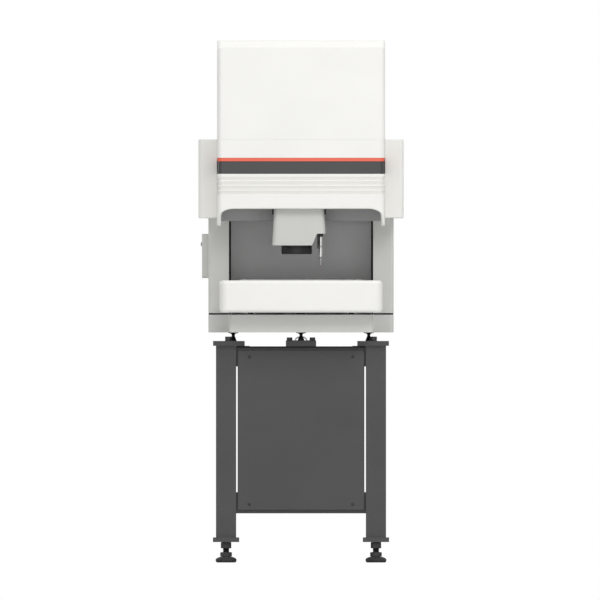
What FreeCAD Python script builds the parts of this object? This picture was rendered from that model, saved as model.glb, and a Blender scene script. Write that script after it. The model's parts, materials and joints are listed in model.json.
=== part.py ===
import FreeCAD, Part
import math
import os
import Sketcher
from FreeCAD import Vector

# Vision measuring machine on its stand, in millimetres. The origin is on the floor under the
# middle of the machine, +Z is up and the operator stands on the -Y side.

sizes = {
    # stand
    "foot_spread": 445.0,
    "leg_pitch": 500.0,
    "stand_back": 15.0,
    "leg_side": 60.0,
    "leg_wall": 3.2,
    "leg_length": 568.6,
    "foot_plate_side": 78.0,
    "foot_plate_thick": 14.0,
    "top_plate_side": 94.0,
    "top_plate_thick": 14.5,
    "top_plate_lip": 8.6,
    "rail_height": 60.0,
    "rail_depth": 40.0,
    "rail_wall": 3.0,
    "upper_rail_drop": 1.4,
    "lower_rail_rise": 71.2,
    "panel_gap": 6.5,
    "panel_sheet": 1.6,
    "panel_proud": 8.0,
    "panel_below": 12.6,
    "panel_above": 10.5,
    "panel_screw_x": 153.4,
    "panel_screw_rise": 27.1,
    "panel_hole": 3.2,
    "unit_tall": 300.0,
    "unit_deep": 360.0,
    "unit_wide": 300.0,
    "tray_sheet": 3.0,
    # levelling feet
    "pad_radius": 31.0,
    "pad_tall": 17.0,
    "pad_rim": 10.5,
    "pad_neck": 19.2,
    "pad_seat": 6.8,
    "pad_socket": 13.0,
    "stem_radius": 9.5,
    "stem_length": 150.0,
    "collar_across": 30.0,
    "collar_tall": 14.0,
    "stem_show": 11.0,
    "nut_across": 27.0,
    "nut_tall": 18.7,
    "nut_chamfer": 2.0,
    "collar_chamfer": 2.0,
    "run_gap": 0.3,
    # machine supports
    "rear_jack_spread": 402.0,
    "support_rise": 683.0,
    "block_wide": 90.0,
    "block_deep": 66.0,
    "block_tall": 18.0,
    "block_chamfer": 2.0,
    "jack_dish": 14.5,
    "jack_dish_tall": 6.0,
    "jack_neck": 4.5,
    "jack_neck_tall": 3.0,
    "jack_base": 9.8,
    "bolt_across": 14.5,
    "bolt_head": 8.6,
    "bolt_spread": 68.0,
    "bolt_chamfer": 1.2,
    "stop_across": 17.0,
    "stop_head": 13.1,
    "stop_spread": 431.2,
    # machine bed and columns
    "bed_tall": 52.6,
    "bed_front": -335.0,
    "bed_rear": 345.0,
    "bed_wide": 428.0,
    "bed_skin": 22.0,
    "bed_wall": 16.0,
    "bed_corner": 10.0,
    "bed_shoulder": -110.0,
    "bed_cells": 3,
    "machine_wide": 550.0,
    "column_gap": 5.1,
    "column_inset": 3.0,
    "column_wide": 61.0,
    "column_front": -80.0,
    "column_rear": 285.0,
    "column_top": 1062.0,
    "column_wall": 10.0,
    "column_corner": 9.0,
    "column_clear": 1.5,
    "back_panel_wide": 416.0,
    "back_panel_front": 118.0,
    "back_panel_sheet": 3.0,
    "back_panel_fold": 20.0,
    "beam_front": -60.0,
    "beam_deep": 120.0,
    "beam_tall": 140.0,
    "beam_wall": 10.0,
    "skirt_wide": 482.0,
    "skirt_bottom": 1013.9,
    "skirt_sheet": 2.0,
    "skirt_stand": 6.0,
    # upper covers
    "cover_wide": 499.0,
    "cover_front": -262.0,
    "cover_rear": 290.0,
    "cover_sheet": 3.0,
    "cover_corner": 16.0,
    "cover_bottom": 1256.2,
    "cover_top": 1527.6,
    "cap_tall": 22.4,
    "cap_slope": 22.0,
    "cap_lip": 1.5,
    "cap_edge": 2.5,
    "band_bottom": 1201.6,
    "stripe_tall": 10.4,
    "stripe_inset": 1.0,
    "dark_tall": 37.4,
    "dark_inset": 3.0,
    "rib_count": 4,
    "rib_pitch": 13.7,
    "rib_tall": 8.6,
    "rib_proud": 6.0,
    "rib_slope": 4.0,
    "visor_top": 1092.6,
    "arch_top": 1049.5,
    "visor_bottom": 999.3,
    "visor_wall": 7.6,
    "visor_front_wall": 9.0,
    "arch_round": 20.0,
    "fascia_rear": -168.0,
    "wing_width": 55.2,
    "wing_bottom": 1022.0,
    "wing_corner": 14.0,
    "wing_sheet": 3.0,
    "boss_side": 18.0,
    "rear_box_rear": 385.0,
    "rear_box_bottom": 760.0,
    "rear_box_corner": 12.0,
    "vent_count": 9,
    "vent_pitch": 14.0,
    "vent_tall": 5.0,
    "vent_length": 130.0,
    "vent_middle": 110.0,
    "vent_rise": 280.0,
    "inlet_wide": 50.0,
    "inlet_tall": 30.0,
    "inlet_deep": 26.0,
    "inlet_wall": 5.0,
    "inlet_x": 170.0,
    "inlet_rise": 40.0,
    "blade_wide": 2.0,
    "blade_tall": 8.0,
    "blade_pitch": 9.0,
    "blade_long": 15.0,
    # optical axis and stage
    "axis_x": -12.8,
    "axis_y": -184.0,
    "guide_spread": 300.0,
    "guide_wide": 15.0,
    "guide_tall": 15.0,
    "guide_waist": 3.0,
    "y_rail_front": -266.0,
    "y_rail_length": 380.0,
    "truck_wide": 34.0,
    "truck_long": 56.0,
    "truck_tall": 28.0,
    "truck_foot": 4.0,
    "y_truck_spread": 100.0,
    "y_truck_middle": -74.0,
    "table_wide": 362.0,
    "table_deep": 325.0,
    "table_top": 840.0,
    "table_ledge": 14.0,
    "table_floor": 10.0,
    "frame_wide": 330.0,
    "frame_deep": 250.0,
    "frame_top": 842.6,
    "frame_thick": 14.0,
    "glass_wide": 270.0,
    "glass_deep": 190.0,
    "glass_thick": 8.0,
    "glass_lip": 6.0,
    "fixture_hole": 2.5,
    "fixture_pitch_x": 300.0,
    "fixture_pitch_y": 224.0,
    "light_wide": 150.0,
    "light_deep": 150.0,
    "light_tall": 22.0,
    "stage_cover_wide": 484.0,
    "stage_cover_front": -385.0,
    "stage_cover_rear": -315.0,
    "stage_cover_bottom": 742.0,
    "stage_cover_top": 837.6,
    "stage_cover_corner": 24.0,
    "stage_cover_edge": 10.0,
    "stage_cover_sheet": 3.0,
    # drives
    "screw_radius": 8.0,
    "z_screw_radius": 6.0,
    "nut_wide": 30.0,
    "nut_clear": 2.0,
    "nut_long": 34.0,
    "bearing_side": 27.0,
    "bearing_long": 22.0,
    "motor_long": 50.0,
    "motor_bevel": 4.5,
    "y_bearing_front": -267.0,
    "y_bearing_rear": 45.0,
    # cross carriage
    "x_guide_low": 1090.0,
    "x_guide_high": 1176.0,
    "x_guide_length": 426.0,
    "x_screw_rise": 1133.0,
    "x_truck_spread": 100.0,
    "x_bearing_left": -205.0,
    "x_bearing_right": 150.0,
    "head_middle": -5.85,
    "carriage_wide": 150.0,
    "carriage_bottom": 1036.0,
    "carriage_top": 1262.0,
    "carriage_thick": 14.0,
    "carriage_corner": 6.0,
    "z_guide_spread": 104.0,
    "z_rail_bottom": 1040.0,
    "z_rail_length": 220.0,
    "z_bearing_tall": 9.0,
    "z_bearing_top": 1240.0,
    "z_slide_wide": 161.7,
    "z_slide_bottom": 1033.0,
    "z_slide_top": 1200.0,
    "z_slide_thick": 20.0,
    "z_truck_bottom": 1080.0,
    "z_truck_long": 60.0,
    "z_nut_bottom": 1078.0,
    "z_nut_tall": 24.0,
    # measuring head
    "shell_left": -86.0,
    "shell_right": 73.3,
    "shell_step_left": 32.7,
    "shell_step_right": 47.5,
    "shell_bottom": 941.5,
    "shell_shoulder": 976.5,
    "shell_top": 1075.0,
    "shell_taper": 7.2,
    "shell_deep": 90.0,
    "shell_corner": 14.0,
    "shell_sheet": 3.0,
    "ring_radius": 45.0,
    "ring_bore": 24.0,
    "ring_bottom": 915.6,
    "lens_radius": 22.0,
    "lens_recess": 2.4,
    "tube_radius": 26.0,
    "tube_top": 1120.0,
    "camera_side": 44.0,
    "camera_tall": 60.0,
    "camera_corner": 4.4,
    "bracket_rise": 1082.0,
    "bracket_tall": 30.0,
    "bracket_wide": 36.0,
    "probe_x": 58.5,
    "probe_y": -200.0,
    "probe_radius": 6.2,
    "probe_top": 968.0,
    "probe_joint": 939.0,
    "notch_tall": 3.0,
    "probe_neck": 3.0,
    "probe_bottom": 902.0,
    "module_radius": 5.6,
    "arm_left": 48.0,
    "arm_wide": 4.0,
    "arm_deep": 22.0,
    "arm_bottom": 932.0,
    "arm_margin": 1.0,
    "gimbal_radius": 3.0,
    "gimbal_bore": 1.6,
    "gimbal_tall": 1.8,
    "pivot_drop": 1.8,
    "stylus_radius": 0.75,
    "stylus_tip": 879.0,
    "ball_radius": 1.5,
    # controls
    "switch_left": -294.0,
    "switch_front": -40.0,
    "switch_deep": 60.0,
    "switch_bottom": 844.4,
    "switch_top": 975.6,
    "switch_round": 6.0,
    "button_rise": 945.4,
    "button_radius": 6.0,
    "button_proud": 3.6,
    "button_long": 9.0,
    "button_travel": 2.0,
}


class Measure:
    """A length with the expression that gives it from the sheet."""

    def __init__(self, number, text):
        self.number = number
        self.text = text

    def joined(self, other, number, sign, swap=False):
        text = other.text if isinstance(other, Measure) else repr(float(other))
        pair = (text, self.text) if swap else (self.text, text)
        return Measure(number, "({} {} {})".format(pair[0], sign, pair[1]))

    def __add__(self, other):
        return self.joined(other, self.number + plain(other), "+")

    def __radd__(self, other):
        return self.joined(other, plain(other) + self.number, "+", True)

    def __sub__(self, other):
        return self.joined(other, self.number - plain(other), "-")

    def __rsub__(self, other):
        return self.joined(other, plain(other) - self.number, "-", True)

    def __mul__(self, other):
        return self.joined(other, self.number * plain(other), "*")

    def __rmul__(self, other):
        return self.joined(other, plain(other) * self.number, "*", True)

    def __truediv__(self, other):
        return self.joined(other, self.number / plain(other), "/")

    def __neg__(self):
        return self * -1


def plain(value):
    return value.number if isinstance(value, Measure) else float(value)


def formula(value):
    return value.text if isinstance(value, Measure) else repr(float(value))


doc = FreeCAD.newDocument("measuring_machine")
sheet = doc.addObject("Spreadsheet::Sheet", "Sizes")
for row, (alias, number) in enumerate(sizes.items(), 1):
    sheet.set("A%d" % row, alias)
    sheet.set("B%d" % row, str(number))
    sheet.setAlias("B%d" % row, alias)
doc.recompute()


class Sheet:
    """Gives each size of the sheet by its name."""

    def __getattr__(self, alias):
        return Measure(float(sizes[alias]), "Sizes." + alias)


at = Sheet()
nodes = []


def origin_plane(body, role):
    return [f for f in body.Origin.OriginFeatures if f.Role == role][0]


def new_body(label, place=(0, 0, 0)):
    body = doc.addObject("PartDesign::Body", label)
    body.Label = label
    body.AllowCompound = True
    for axis, value in zip("xyz", place):
        body.setExpression("Placement.Base." + axis, formula(value))
    nodes.append(body)
    return body


def new_sketch(body, name, plane, lift=0):
    sketch = body.newObject("Sketcher::SketchObject", name)
    sketch.AttachmentSupport = [(origin_plane(body, plane), "")]
    sketch.MapMode = "FlatFace"
    sketch.setExpression("AttachmentOffset.Base.z", formula(lift))
    return sketch


def pin(sketch, kind, index, point, value):
    number = sketch.addConstraint(Sketcher.Constraint(kind, -1, 1, index, point, plain(value)))
    sketch.setExpression("Constraints[%d]" % number, formula(value))


def stroke(sketch, start, end):
    line = Part.LineSegment(Vector(plain(start[0]), plain(start[1]), 0),
                            Vector(plain(end[0]), plain(end[1]), 0))
    index = sketch.addGeometry(line, False)
    for point, spot in ((1, start), (2, end)):
        pin(sketch, "DistanceX", index, point, spot[0])
        pin(sketch, "DistanceY", index, point, spot[1])
    return index


def heading(start, end):
    """Direction of a level or upright edge, as a pair of -1, 0 and 1."""
    across = plain(end[0]) - plain(start[0])
    up = plain(end[1]) - plain(start[1])
    length = math.hypot(across, up)
    return round(across / length), round(up / length)


def add_outline(sketch, points):
    """Closed outline through the corners; a third number rounds a square corner."""
    count = len(points)
    arrive = []
    leave = []
    for i, corner in enumerate(points):
        radius = corner[2] if len(corner) > 2 else None
        if radius is None:
            arrive.append(corner)
            leave.append(corner)
            continue
        before = heading(points[i - 1], corner)
        after = heading(corner, points[(i + 1) % count])
        arrive.append((corner[0] - radius * before[0], corner[1] - radius * before[1]))
        leave.append((corner[0] + radius * after[0], corner[1] + radius * after[1]))
    lines = [stroke(sketch, leave[i], arrive[(i + 1) % count]) for i in range(count)]
    for i, corner in enumerate(points):
        if len(corner) > 2:
            round_corner(sketch, points[i - 1], corner, points[(i + 1) % count],
                         (lines[i - 1], 2), (lines[i], 1))


def round_corner(sketch, before, corner, after, incoming, outgoing):
    first = heading(before, corner)
    second = heading(corner, after)
    size = plain(corner[2])
    centre = Vector(plain(corner[0]) + (second[0] - first[0]) * size,
                    plain(corner[1]) + (second[1] - first[1]) * size, 0)
    start = math.atan2(-second[1], -second[0])
    end = math.atan2(first[1], first[0])
    leftwards = first[0] * second[1] - first[1] * second[0] > 0
    begin, finish = (start, end) if leftwards else (end, start)
    if finish < begin:
        finish += 2 * math.pi
    arc = Part.ArcOfCircle(Part.Circle(centre, Vector(0, 0, 1), size), begin, finish)
    index = sketch.addGeometry(arc, False)
    ends = (incoming, outgoing) if leftwards else (outgoing, incoming)
    sketch.addConstraint(Sketcher.Constraint("Coincident", index, 1, ends[0][0], ends[0][1]))
    sketch.addConstraint(Sketcher.Constraint("Coincident", index, 2, ends[1][0], ends[1][1]))
    number = sketch.addConstraint(Sketcher.Constraint("Radius", index, size))
    sketch.setExpression("Constraints[%d]" % number, formula(corner[2]))


def add_circle(sketch, across, up, radius):
    centre = Vector(plain(across), plain(up), 0)
    index = sketch.addGeometry(Part.Circle(centre, Vector(0, 0, 1), plain(radius)), False)
    pin(sketch, "DistanceX", index, 3, across)
    pin(sketch, "DistanceY", index, 3, up)
    number = sketch.addConstraint(Sketcher.Constraint("Radius", index, plain(radius)))
    sketch.setExpression("Constraints[%d]" % number, formula(radius))


def add_rectangle(sketch, left, right, low, high):
    add_outline(sketch, [(left, low), (right, low), (right, high), (left, high)])


def add_ring(sketch, left, right, low, high, wall):
    """Rectangle with a smaller one inside it, a wall's thickness away."""
    add_rectangle(sketch, left, right, low, high)
    add_rectangle(sketch, left + wall, right - wall, low + wall, high - wall)


def pad(body, sketch, length, against=False):
    """Adds material along the sketch's normal, or against it."""
    feature = body.newObject("PartDesign::Pad", sketch.Name + "_pad")
    feature.Profile = sketch
    feature.setExpression("Length", formula(length))
    feature.Reversed = against
    doc.recompute()
    return feature


def pocket(body, sketch, length, against=False):
    """Cuts along the sketch's normal, or against it, and makes sure that something was cut."""
    before = body.Shape.Volume
    feature = body.newObject("PartDesign::Pocket", sketch.Name + "_pocket")
    feature.Profile = sketch
    feature.setExpression("Length", formula(length))
    feature.Reversed = not against
    doc.recompute()
    if body.Shape.Volume >= before:
        raise ValueError(sketch.Name + " cuts nothing")
    return feature


def revolve(body, sketch, axis="V_Axis"):
    feature = body.newObject("PartDesign::Revolution", sketch.Name + "_turned")
    feature.Profile = sketch
    feature.ReferenceAxis = (sketch, [axis])
    feature.Angle = 360
    doc.recompute()
    return feature


def twin(source, label):
    """The same piece on the other side of the machine."""
    piece = doc.addObject("Part::Mirroring", label)
    piece.Label = label
    piece.Source = source
    piece.Normal = Vector(1, 0, 0)
    nodes.append(piece)
    doc.recompute()
    return piece


def mirror(body, plane):
    feature = body.newObject("PartDesign::Mirrored", body.Name + "_" + plane)
    feature.TransformMode = "Whole shape"
    feature.MirrorPlane = (origin_plane(body, plane), [""])
    body.Tip = feature
    doc.recompute()
    return feature


def near(a, b):
    return abs(a - plain(b)) < 0.01


def edge_names(shape, chosen):
    return ["Edge%d" % i for i, edge in enumerate(shape.Edges, 1) if chosen(edge)]


def along(edge, axis):
    """Tells whether a straight edge runs along the axis x, y or z."""
    if not isinstance(edge.Curve, Part.Line):
        return False
    ends = [v.Point for v in edge.Vertexes]
    step = ends[-1] - ends[0]
    return abs(getattr(step, axis)) > 0.999 * step.Length


def dress(body, kind, size, chosen):
    """Rounds or bevels the chosen edges of the body so far."""
    base = body.Tip
    names = edge_names(base.Shape, chosen)
    if not names:
        raise ValueError("no edge to dress on " + body.Label)
    feature = body.newObject("PartDesign::" + kind, body.Name + "_" + kind.lower())
    feature.Base = (base, names)
    feature.setExpression("Radius" if kind == "Fillet" else "Size", formula(size))
    doc.recompute()
    return feature


def level_line(edge, z):
    """Tells whether an edge is straight and lies level at the height z."""
    return (isinstance(edge.Curve, Part.Line)
            and near(edge.Vertexes[0].Z, z) and near(edge.Vertexes[-1].Z, z))


def turned(label, profile, place=(0, 0, 0)):
    """A round piece from its half profile of radius and height."""
    body = new_body(label, place)
    sketch = new_sketch(body, label + "_profile", "XZ_Plane")
    add_outline(sketch, profile)
    revolve(body, sketch)
    return body


def hexagon(sketch, x, y, across):
    side = across / 2
    corner = across / math.sqrt(3)
    slant = corner / 2
    turns = [(corner, 0), (slant, side), (-slant, side), (-corner, 0), (-slant, -side), (slant, -side)]
    add_outline(sketch, [(x + right, y + up) for right, up in turns])


# Heights of the stand
nut_z = at.pad_tall + at.collar_tall + at.stem_show
plate_z = nut_z + at.nut_tall
leg_z = plate_z + at.foot_plate_thick
leg_top_z = leg_z + at.leg_length
stand_top_z = leg_top_z + at.top_plate_thick
leg_x = at.foot_spread / 2
leg_front_y = at.stand_back - at.leg_pitch / 2
leg_rear_y = at.stand_back + at.leg_pitch / 2
half_leg = at.leg_side / 2
stem_hole = at.stem_radius + at.run_gap


def make_legs(label, leg_y, back):
    """Square tubes with a plate at each end; the top plate reaches into the stand."""
    body = new_body(label, (0, leg_y, 0))
    tube = new_sketch(body, label + "_tube", "XY_Plane", leg_z)
    add_ring(tube, leg_x - half_leg, leg_x + half_leg, -half_leg, half_leg, at.leg_wall)
    pad(body, tube, at.leg_length)
    foot = new_sketch(body, label + "_foot_plate", "XY_Plane", plate_z)
    half_plate = at.foot_plate_side / 2
    add_rectangle(foot, leg_x - half_plate, leg_x + half_plate, -half_plate, half_plate)
    add_circle(foot, leg_x, 0, stem_hole)
    pad(body, foot, at.foot_plate_thick)
    top = new_sketch(body, label + "_top_plate", "XY_Plane", leg_top_z)
    outer_x = leg_x + half_leg + at.top_plate_lip
    outer_y = (half_leg + at.top_plate_lip) * back
    inner_y = outer_y - at.top_plate_side * back
    low, high = (inner_y, outer_y) if back > 0 else (outer_y, inner_y)
    add_rectangle(top, outer_x - at.top_plate_side, outer_x, low, high)
    pad(body, top, at.top_plate_thick)
    mirror(body, "YZ_Plane")


make_legs("front_legs", leg_front_y, -1)
make_legs("rear_legs", leg_rear_y, 1)

lower_rail_z = leg_z + at.lower_rail_rise
upper_rail_z = leg_top_z - at.upper_rail_drop - at.rail_height
half_rail = at.rail_depth / 2
rail_half_x = leg_x - half_leg
rail_half_y = at.leg_pitch / 2 - half_leg


def make_rails(label, plane, across, half_span, mirror_plane):
    """Upper and lower rectangular tubes, the same on both sides of the stand."""
    body = new_body(label, (0, at.stand_back, 0))
    sketch = new_sketch(body, label + "_ends", plane, -half_span)
    for up in (lower_rail_z, upper_rail_z):
        add_ring(sketch, across - half_rail, across + half_rail, up, up + at.rail_height,
                 at.rail_wall)
    pad(body, sketch, half_span * 2)
    mirror(body, mirror_plane)


make_rails("cross_rails", "YZ_Plane", at.leg_pitch / 2, rail_half_x, "XZ_Plane")
make_rails("side_rails", "XZ_Plane", leg_x, rail_half_y, "YZ_Plane")

panel_half = rail_half_x - at.panel_gap
panel_low = lower_rail_z + at.panel_above
panel_high = upper_rail_z + at.rail_height - at.panel_below
rail_front_y = leg_front_y - half_rail
tray_z = lower_rail_z + at.rail_height


def make_front_panel():
    """Folded sheet whose edges turn back to the cross rails."""
    body = new_body("front_panel")
    face = new_sketch(body, "panel_face", "XZ_Plane", -rail_front_y)
    bend = at.panel_sheet * 2
    add_outline(face, [(-panel_half, panel_low, bend), (panel_half, panel_low, bend),
                       (panel_half, panel_high, bend), (-panel_half, panel_high, bend)])
    pad(body, face, at.panel_proud)
    back = new_sketch(body, "panel_back", "XZ_Plane", -rail_front_y)
    wall = at.panel_sheet
    add_rectangle(back, wall - panel_half, panel_half - wall, panel_low + wall, panel_high - wall)
    pocket(body, back, at.panel_proud - wall)
    screws = new_sketch(body, "panel_screw_holes", "XZ_Plane", -rail_front_y)
    for across in (-at.panel_screw_x, at.panel_screw_x):
        for up in (lower_rail_z + at.panel_screw_rise, upper_rail_z + at.rail_height / 2):
            add_circle(screws, across, up, at.panel_hole)
    pocket(body, screws, at.panel_proud)


def make_control_unit():
    """Electronics chassis, open at the back, on a tray across the lower side rails."""
    body = new_body("control_unit", (0, at.stand_back, 0))
    half_deep = at.unit_deep / 2
    half_wide = at.unit_wide / 2
    tray = new_sketch(body, "unit_tray", "XY_Plane", tray_z)
    add_rectangle(tray, -leg_x, leg_x, -half_deep, half_deep)
    pad(body, tray, at.tray_sheet)
    chassis = new_sketch(body, "unit_chassis", "XZ_Plane", -half_deep)
    low = tray_z + at.tray_sheet
    add_rectangle(chassis, -half_wide, half_wide, low, low + at.unit_tall)
    pad(body, chassis, at.unit_deep)
    inside = new_sketch(body, "unit_inside", "XZ_Plane", -half_deep)
    wall = at.tray_sheet
    add_rectangle(inside, wall - half_wide, half_wide - wall, low, low + at.unit_tall - wall)
    pocket(body, inside, at.unit_deep - wall)


def make_lock_nuts():
    body = new_body("lock_nuts", (0, at.stand_back, nut_z))
    plan = new_sketch(body, "nut_plan", "XY_Plane")
    hexagon(plan, leg_x, at.leg_pitch / 2, at.nut_across)
    add_circle(plan, leg_x, at.leg_pitch / 2, stem_hole)
    pad(body, plan, at.nut_tall)
    dress(body, "Chamfer", at.nut_chamfer, lambda edge: level_line(edge, 0))
    mirror(body, "XZ_Plane")
    mirror(body, "YZ_Plane")


def make_foot(name, x, y):
    """Swivel pad and the threaded stem that stands in it."""
    turned("pad_" + name, [
        (0, 0), (at.pad_radius, 0), (at.pad_radius, at.pad_rim), (at.pad_neck, at.pad_tall),
        (at.pad_socket, at.pad_tall), (at.pad_socket, at.pad_seat), (0, at.pad_seat)], (x, y, 0))
    stem = new_body("stem_" + name, (x, y, 0))
    ball = at.pad_socket - at.run_gap
    ball_z = at.pad_seat + at.run_gap
    collar_z = at.pad_tall + at.run_gap
    shaft = new_sketch(stem, "stem_shaft_" + name, "XZ_Plane")
    add_outline(shaft, [(0, ball_z), (ball, ball_z), (ball, collar_z), (at.stem_radius, collar_z),
                        (at.stem_radius, at.stem_length), (0, at.stem_length)])
    revolve(stem, shaft)
    collar = new_sketch(stem, "stem_collar_" + name, "XY_Plane", collar_z)
    hexagon(collar, 0, 0, at.collar_across)
    pad(stem, collar, at.collar_tall - at.run_gap)
    dress(stem, "Chamfer", at.collar_chamfer,
          lambda edge: level_line(edge, at.pad_tall + at.collar_tall))


make_front_panel()
make_control_unit()
make_lock_nuts()
for side_name, side in (("left", -1), ("right", 1)):
    for end_name, end_y in (("front", leg_front_y), ("rear", leg_rear_y)):
        make_foot(end_name + "_" + side_name, leg_x * side, end_y)

rail_top_z = upper_rail_z + at.rail_height
block_top_z = rail_top_z + at.block_tall
block_y = leg_front_y


def make_support_block():
    """Block on the front cross rail that carries the front jack."""
    body = new_body("support_block", (0, block_y, rail_top_z))
    plan = new_sketch(body, "block_plan", "XY_Plane")
    half_wide = at.block_wide / 2
    half_deep = at.block_deep / 2
    add_rectangle(plan, -half_wide, half_wide, -half_deep, half_deep)
    pad(body, plan, at.block_tall)
    dress(body, "Chamfer", at.block_chamfer,
          lambda edge: along(edge, "z") or near(edge.CenterOfMass.z, at.block_tall))


def jack_profile(bottom, centre=0):
    neck_z = at.support_rise - at.jack_dish_tall
    cone_z = neck_z - at.jack_neck_tall
    half = [(0, bottom), (at.jack_base, bottom), (at.jack_neck, cone_z), (at.jack_neck, neck_z),
            (at.jack_dish, neck_z), (at.jack_dish, at.support_rise), (0, at.support_rise)]
    return [(across + centre, up) for across, up in half]


def make_jacks():
    """Screw jacks under the bed: two on the rear legs and one on the front block."""
    body = new_body("support_jacks")
    rear = new_sketch(body, "rear_jack_profile", "XZ_Plane", -leg_rear_y)
    centre = at.rear_jack_spread / 2
    add_outline(rear, jack_profile(stand_top_z, centre))
    axis = rear.addGeometry(Part.LineSegment(Vector(plain(centre), 0, 0),
                                             Vector(plain(centre), 1, 0)), True)
    for point, up in ((1, 0), (2, 1)):
        pin(rear, "DistanceX", axis, point, centre)
        pin(rear, "DistanceY", axis, point, up)
    revolve(body, rear, "Axis0")
    mirror(body, "YZ_Plane")
    front = new_sketch(body, "front_jack_profile", "XZ_Plane", -block_y)
    add_outline(front, jack_profile(block_top_z))
    revolve(body, front)


def make_support_bolts():
    """Clamp screws of the support block and the stop screws on the front legs."""
    body = new_body("support_bolts")
    for name, across, size, low, tall in (
            ("clamp", at.bolt_spread / 2, at.bolt_across, block_top_z, at.bolt_head),
            ("stop", at.stop_spread / 2, at.stop_across, stand_top_z, at.stop_head)):
        head = new_sketch(body, name + "_head", "XY_Plane", low)
        hexagon(head, across, block_y, size)
        pad(body, head, tall)
        dress(body, "Chamfer", at.bolt_chamfer, lambda edge: level_line(edge, low + tall))
    mirror(body, "YZ_Plane")


make_support_block()
make_jacks()
make_support_bolts()

bed_z = at.support_rise
bed_top_z = bed_z + at.bed_tall
half_machine = at.machine_wide / 2
half_bed = at.bed_wide / 2
half_cover = at.cover_wide / 2


def make_bed():
    """Ribbed casting, wider at the back where it carries the columns."""
    body = new_body("bed")
    plan = new_sketch(body, "bed_plan", "XY_Plane", bed_z)
    corner = at.bed_corner
    add_outline(plan, [(-half_bed, at.bed_front, corner), (half_bed, at.bed_front, corner),
                       (half_bed, at.bed_shoulder), (half_machine, at.bed_shoulder, corner),
                       (half_machine, at.bed_rear, corner), (-half_machine, at.bed_rear, corner),
                       (-half_machine, at.bed_shoulder, corner), (-half_bed, at.bed_shoulder)])
    pad(body, plan, at.bed_tall)
    cells = new_sketch(body, "bed_recesses", "XY_Plane", bed_z)
    wall = at.bed_wall
    land = at.jack_dish + wall
    inner = land + wall / 2
    outer = half_bed - wall * 2
    low = at.bed_front + wall
    high = leg_rear_y - land
    step = (high - low + wall) / at.bed_cells.number
    for row in range(int(at.bed_cells.number)):
        near_y = low + step * row
        far_y = near_y + step - wall
        add_rectangle(cells, inner, outer, near_y, far_y)
        add_rectangle(cells, -outer, -inner, near_y, far_y)
    pocket(body, cells, at.bed_tall - at.bed_skin)


def make_column():
    """Hollow cast upright on a set-back foot."""
    body = new_body("column_right")
    left = half_machine - at.column_wide
    inset = at.column_inset
    foot = new_sketch(body, "column_foot", "XY_Plane", bed_top_z)
    add_rectangle(foot, left + inset, half_machine - inset,
                  at.column_front + inset, at.column_rear - inset)
    pad(body, foot, at.column_gap)
    shaft = new_sketch(body, "column_shaft", "XY_Plane", bed_top_z + at.column_gap)
    wall = at.column_wall
    add_outline(shaft, [(left, at.column_front), (half_machine, at.column_front, at.column_corner),
                        (half_machine, at.column_rear), (left, at.column_rear)])
    add_rectangle(shaft, left + wall, half_machine - wall,
                  at.column_front + wall, at.column_rear - wall)
    pad(body, shaft, at.column_top - bed_top_z - at.column_gap)
    twin(body, "column_left")


def make_rear_panel():
    """Folded sheet that closes the measuring space between the columns."""
    body = new_body("rear_panel")
    plan = new_sketch(body, "rear_panel_plan", "XY_Plane", bed_top_z)
    half = at.back_panel_wide / 2
    front = at.back_panel_front
    thick = at.back_panel_sheet
    fold = front + at.back_panel_fold
    add_outline(plan, [(-half, front), (half, front), (half, fold), (half - thick, fold),
                       (half - thick, front + thick), (thick - half, front + thick),
                       (thick - half, fold), (-half, fold)])
    pad(body, plan, at.column_top - bed_top_z - thick)


def make_beam():
    """Hollow cross beam on top of the two columns."""
    body = new_body("x_beam")
    section = new_sketch(body, "beam_section", "YZ_Plane", -half_machine)
    add_ring(section, at.beam_front, at.beam_front + at.beam_deep,
             at.column_top, at.column_top + at.beam_tall, at.beam_wall)
    pad(body, section, at.machine_wide)


def make_beam_cover():
    """Channel of sheet that hangs in front of the columns under the beam."""
    body = new_body("beam_cover")
    half = at.skirt_wide / 2
    section = new_sketch(body, "skirt_section", "YZ_Plane", -half)
    back = at.column_front
    front = back - at.skirt_stand
    thick = at.skirt_sheet
    low = at.skirt_bottom
    high = at.column_top
    add_outline(section, [(front, low, thick), (back, low), (back, low + thick),
                          (front + thick, low + thick), (front + thick, high - thick),
                          (back, high - thick), (back, high), (front, high, thick)])
    pad(body, section, at.skirt_wide)


make_bed()
make_column()
make_rear_panel()
make_beam()
make_beam_cover()


def make_upper_cover():
    """Large hood over the cross beam, open at the bottom and closed by the cap."""
    body = new_body("upper_cover")
    plan = new_sketch(body, "cover_plan", "XY_Plane", at.cover_bottom)
    corner = at.cover_corner
    front = at.cover_front
    rear = at.cover_rear
    add_outline(plan, [(-half_cover, front, corner), (half_cover, front, corner),
                       (half_cover, rear, corner), (-half_cover, rear, corner)])
    wall = at.cover_sheet
    inner = half_cover - wall
    add_outline(plan, [(-inner, front + wall, corner - wall), (inner, front + wall, corner - wall),
                       (inner, rear - wall, corner - wall), (-inner, rear - wall, corner - wall)])
    pad(body, plan, at.cover_top - at.cover_bottom)


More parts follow.
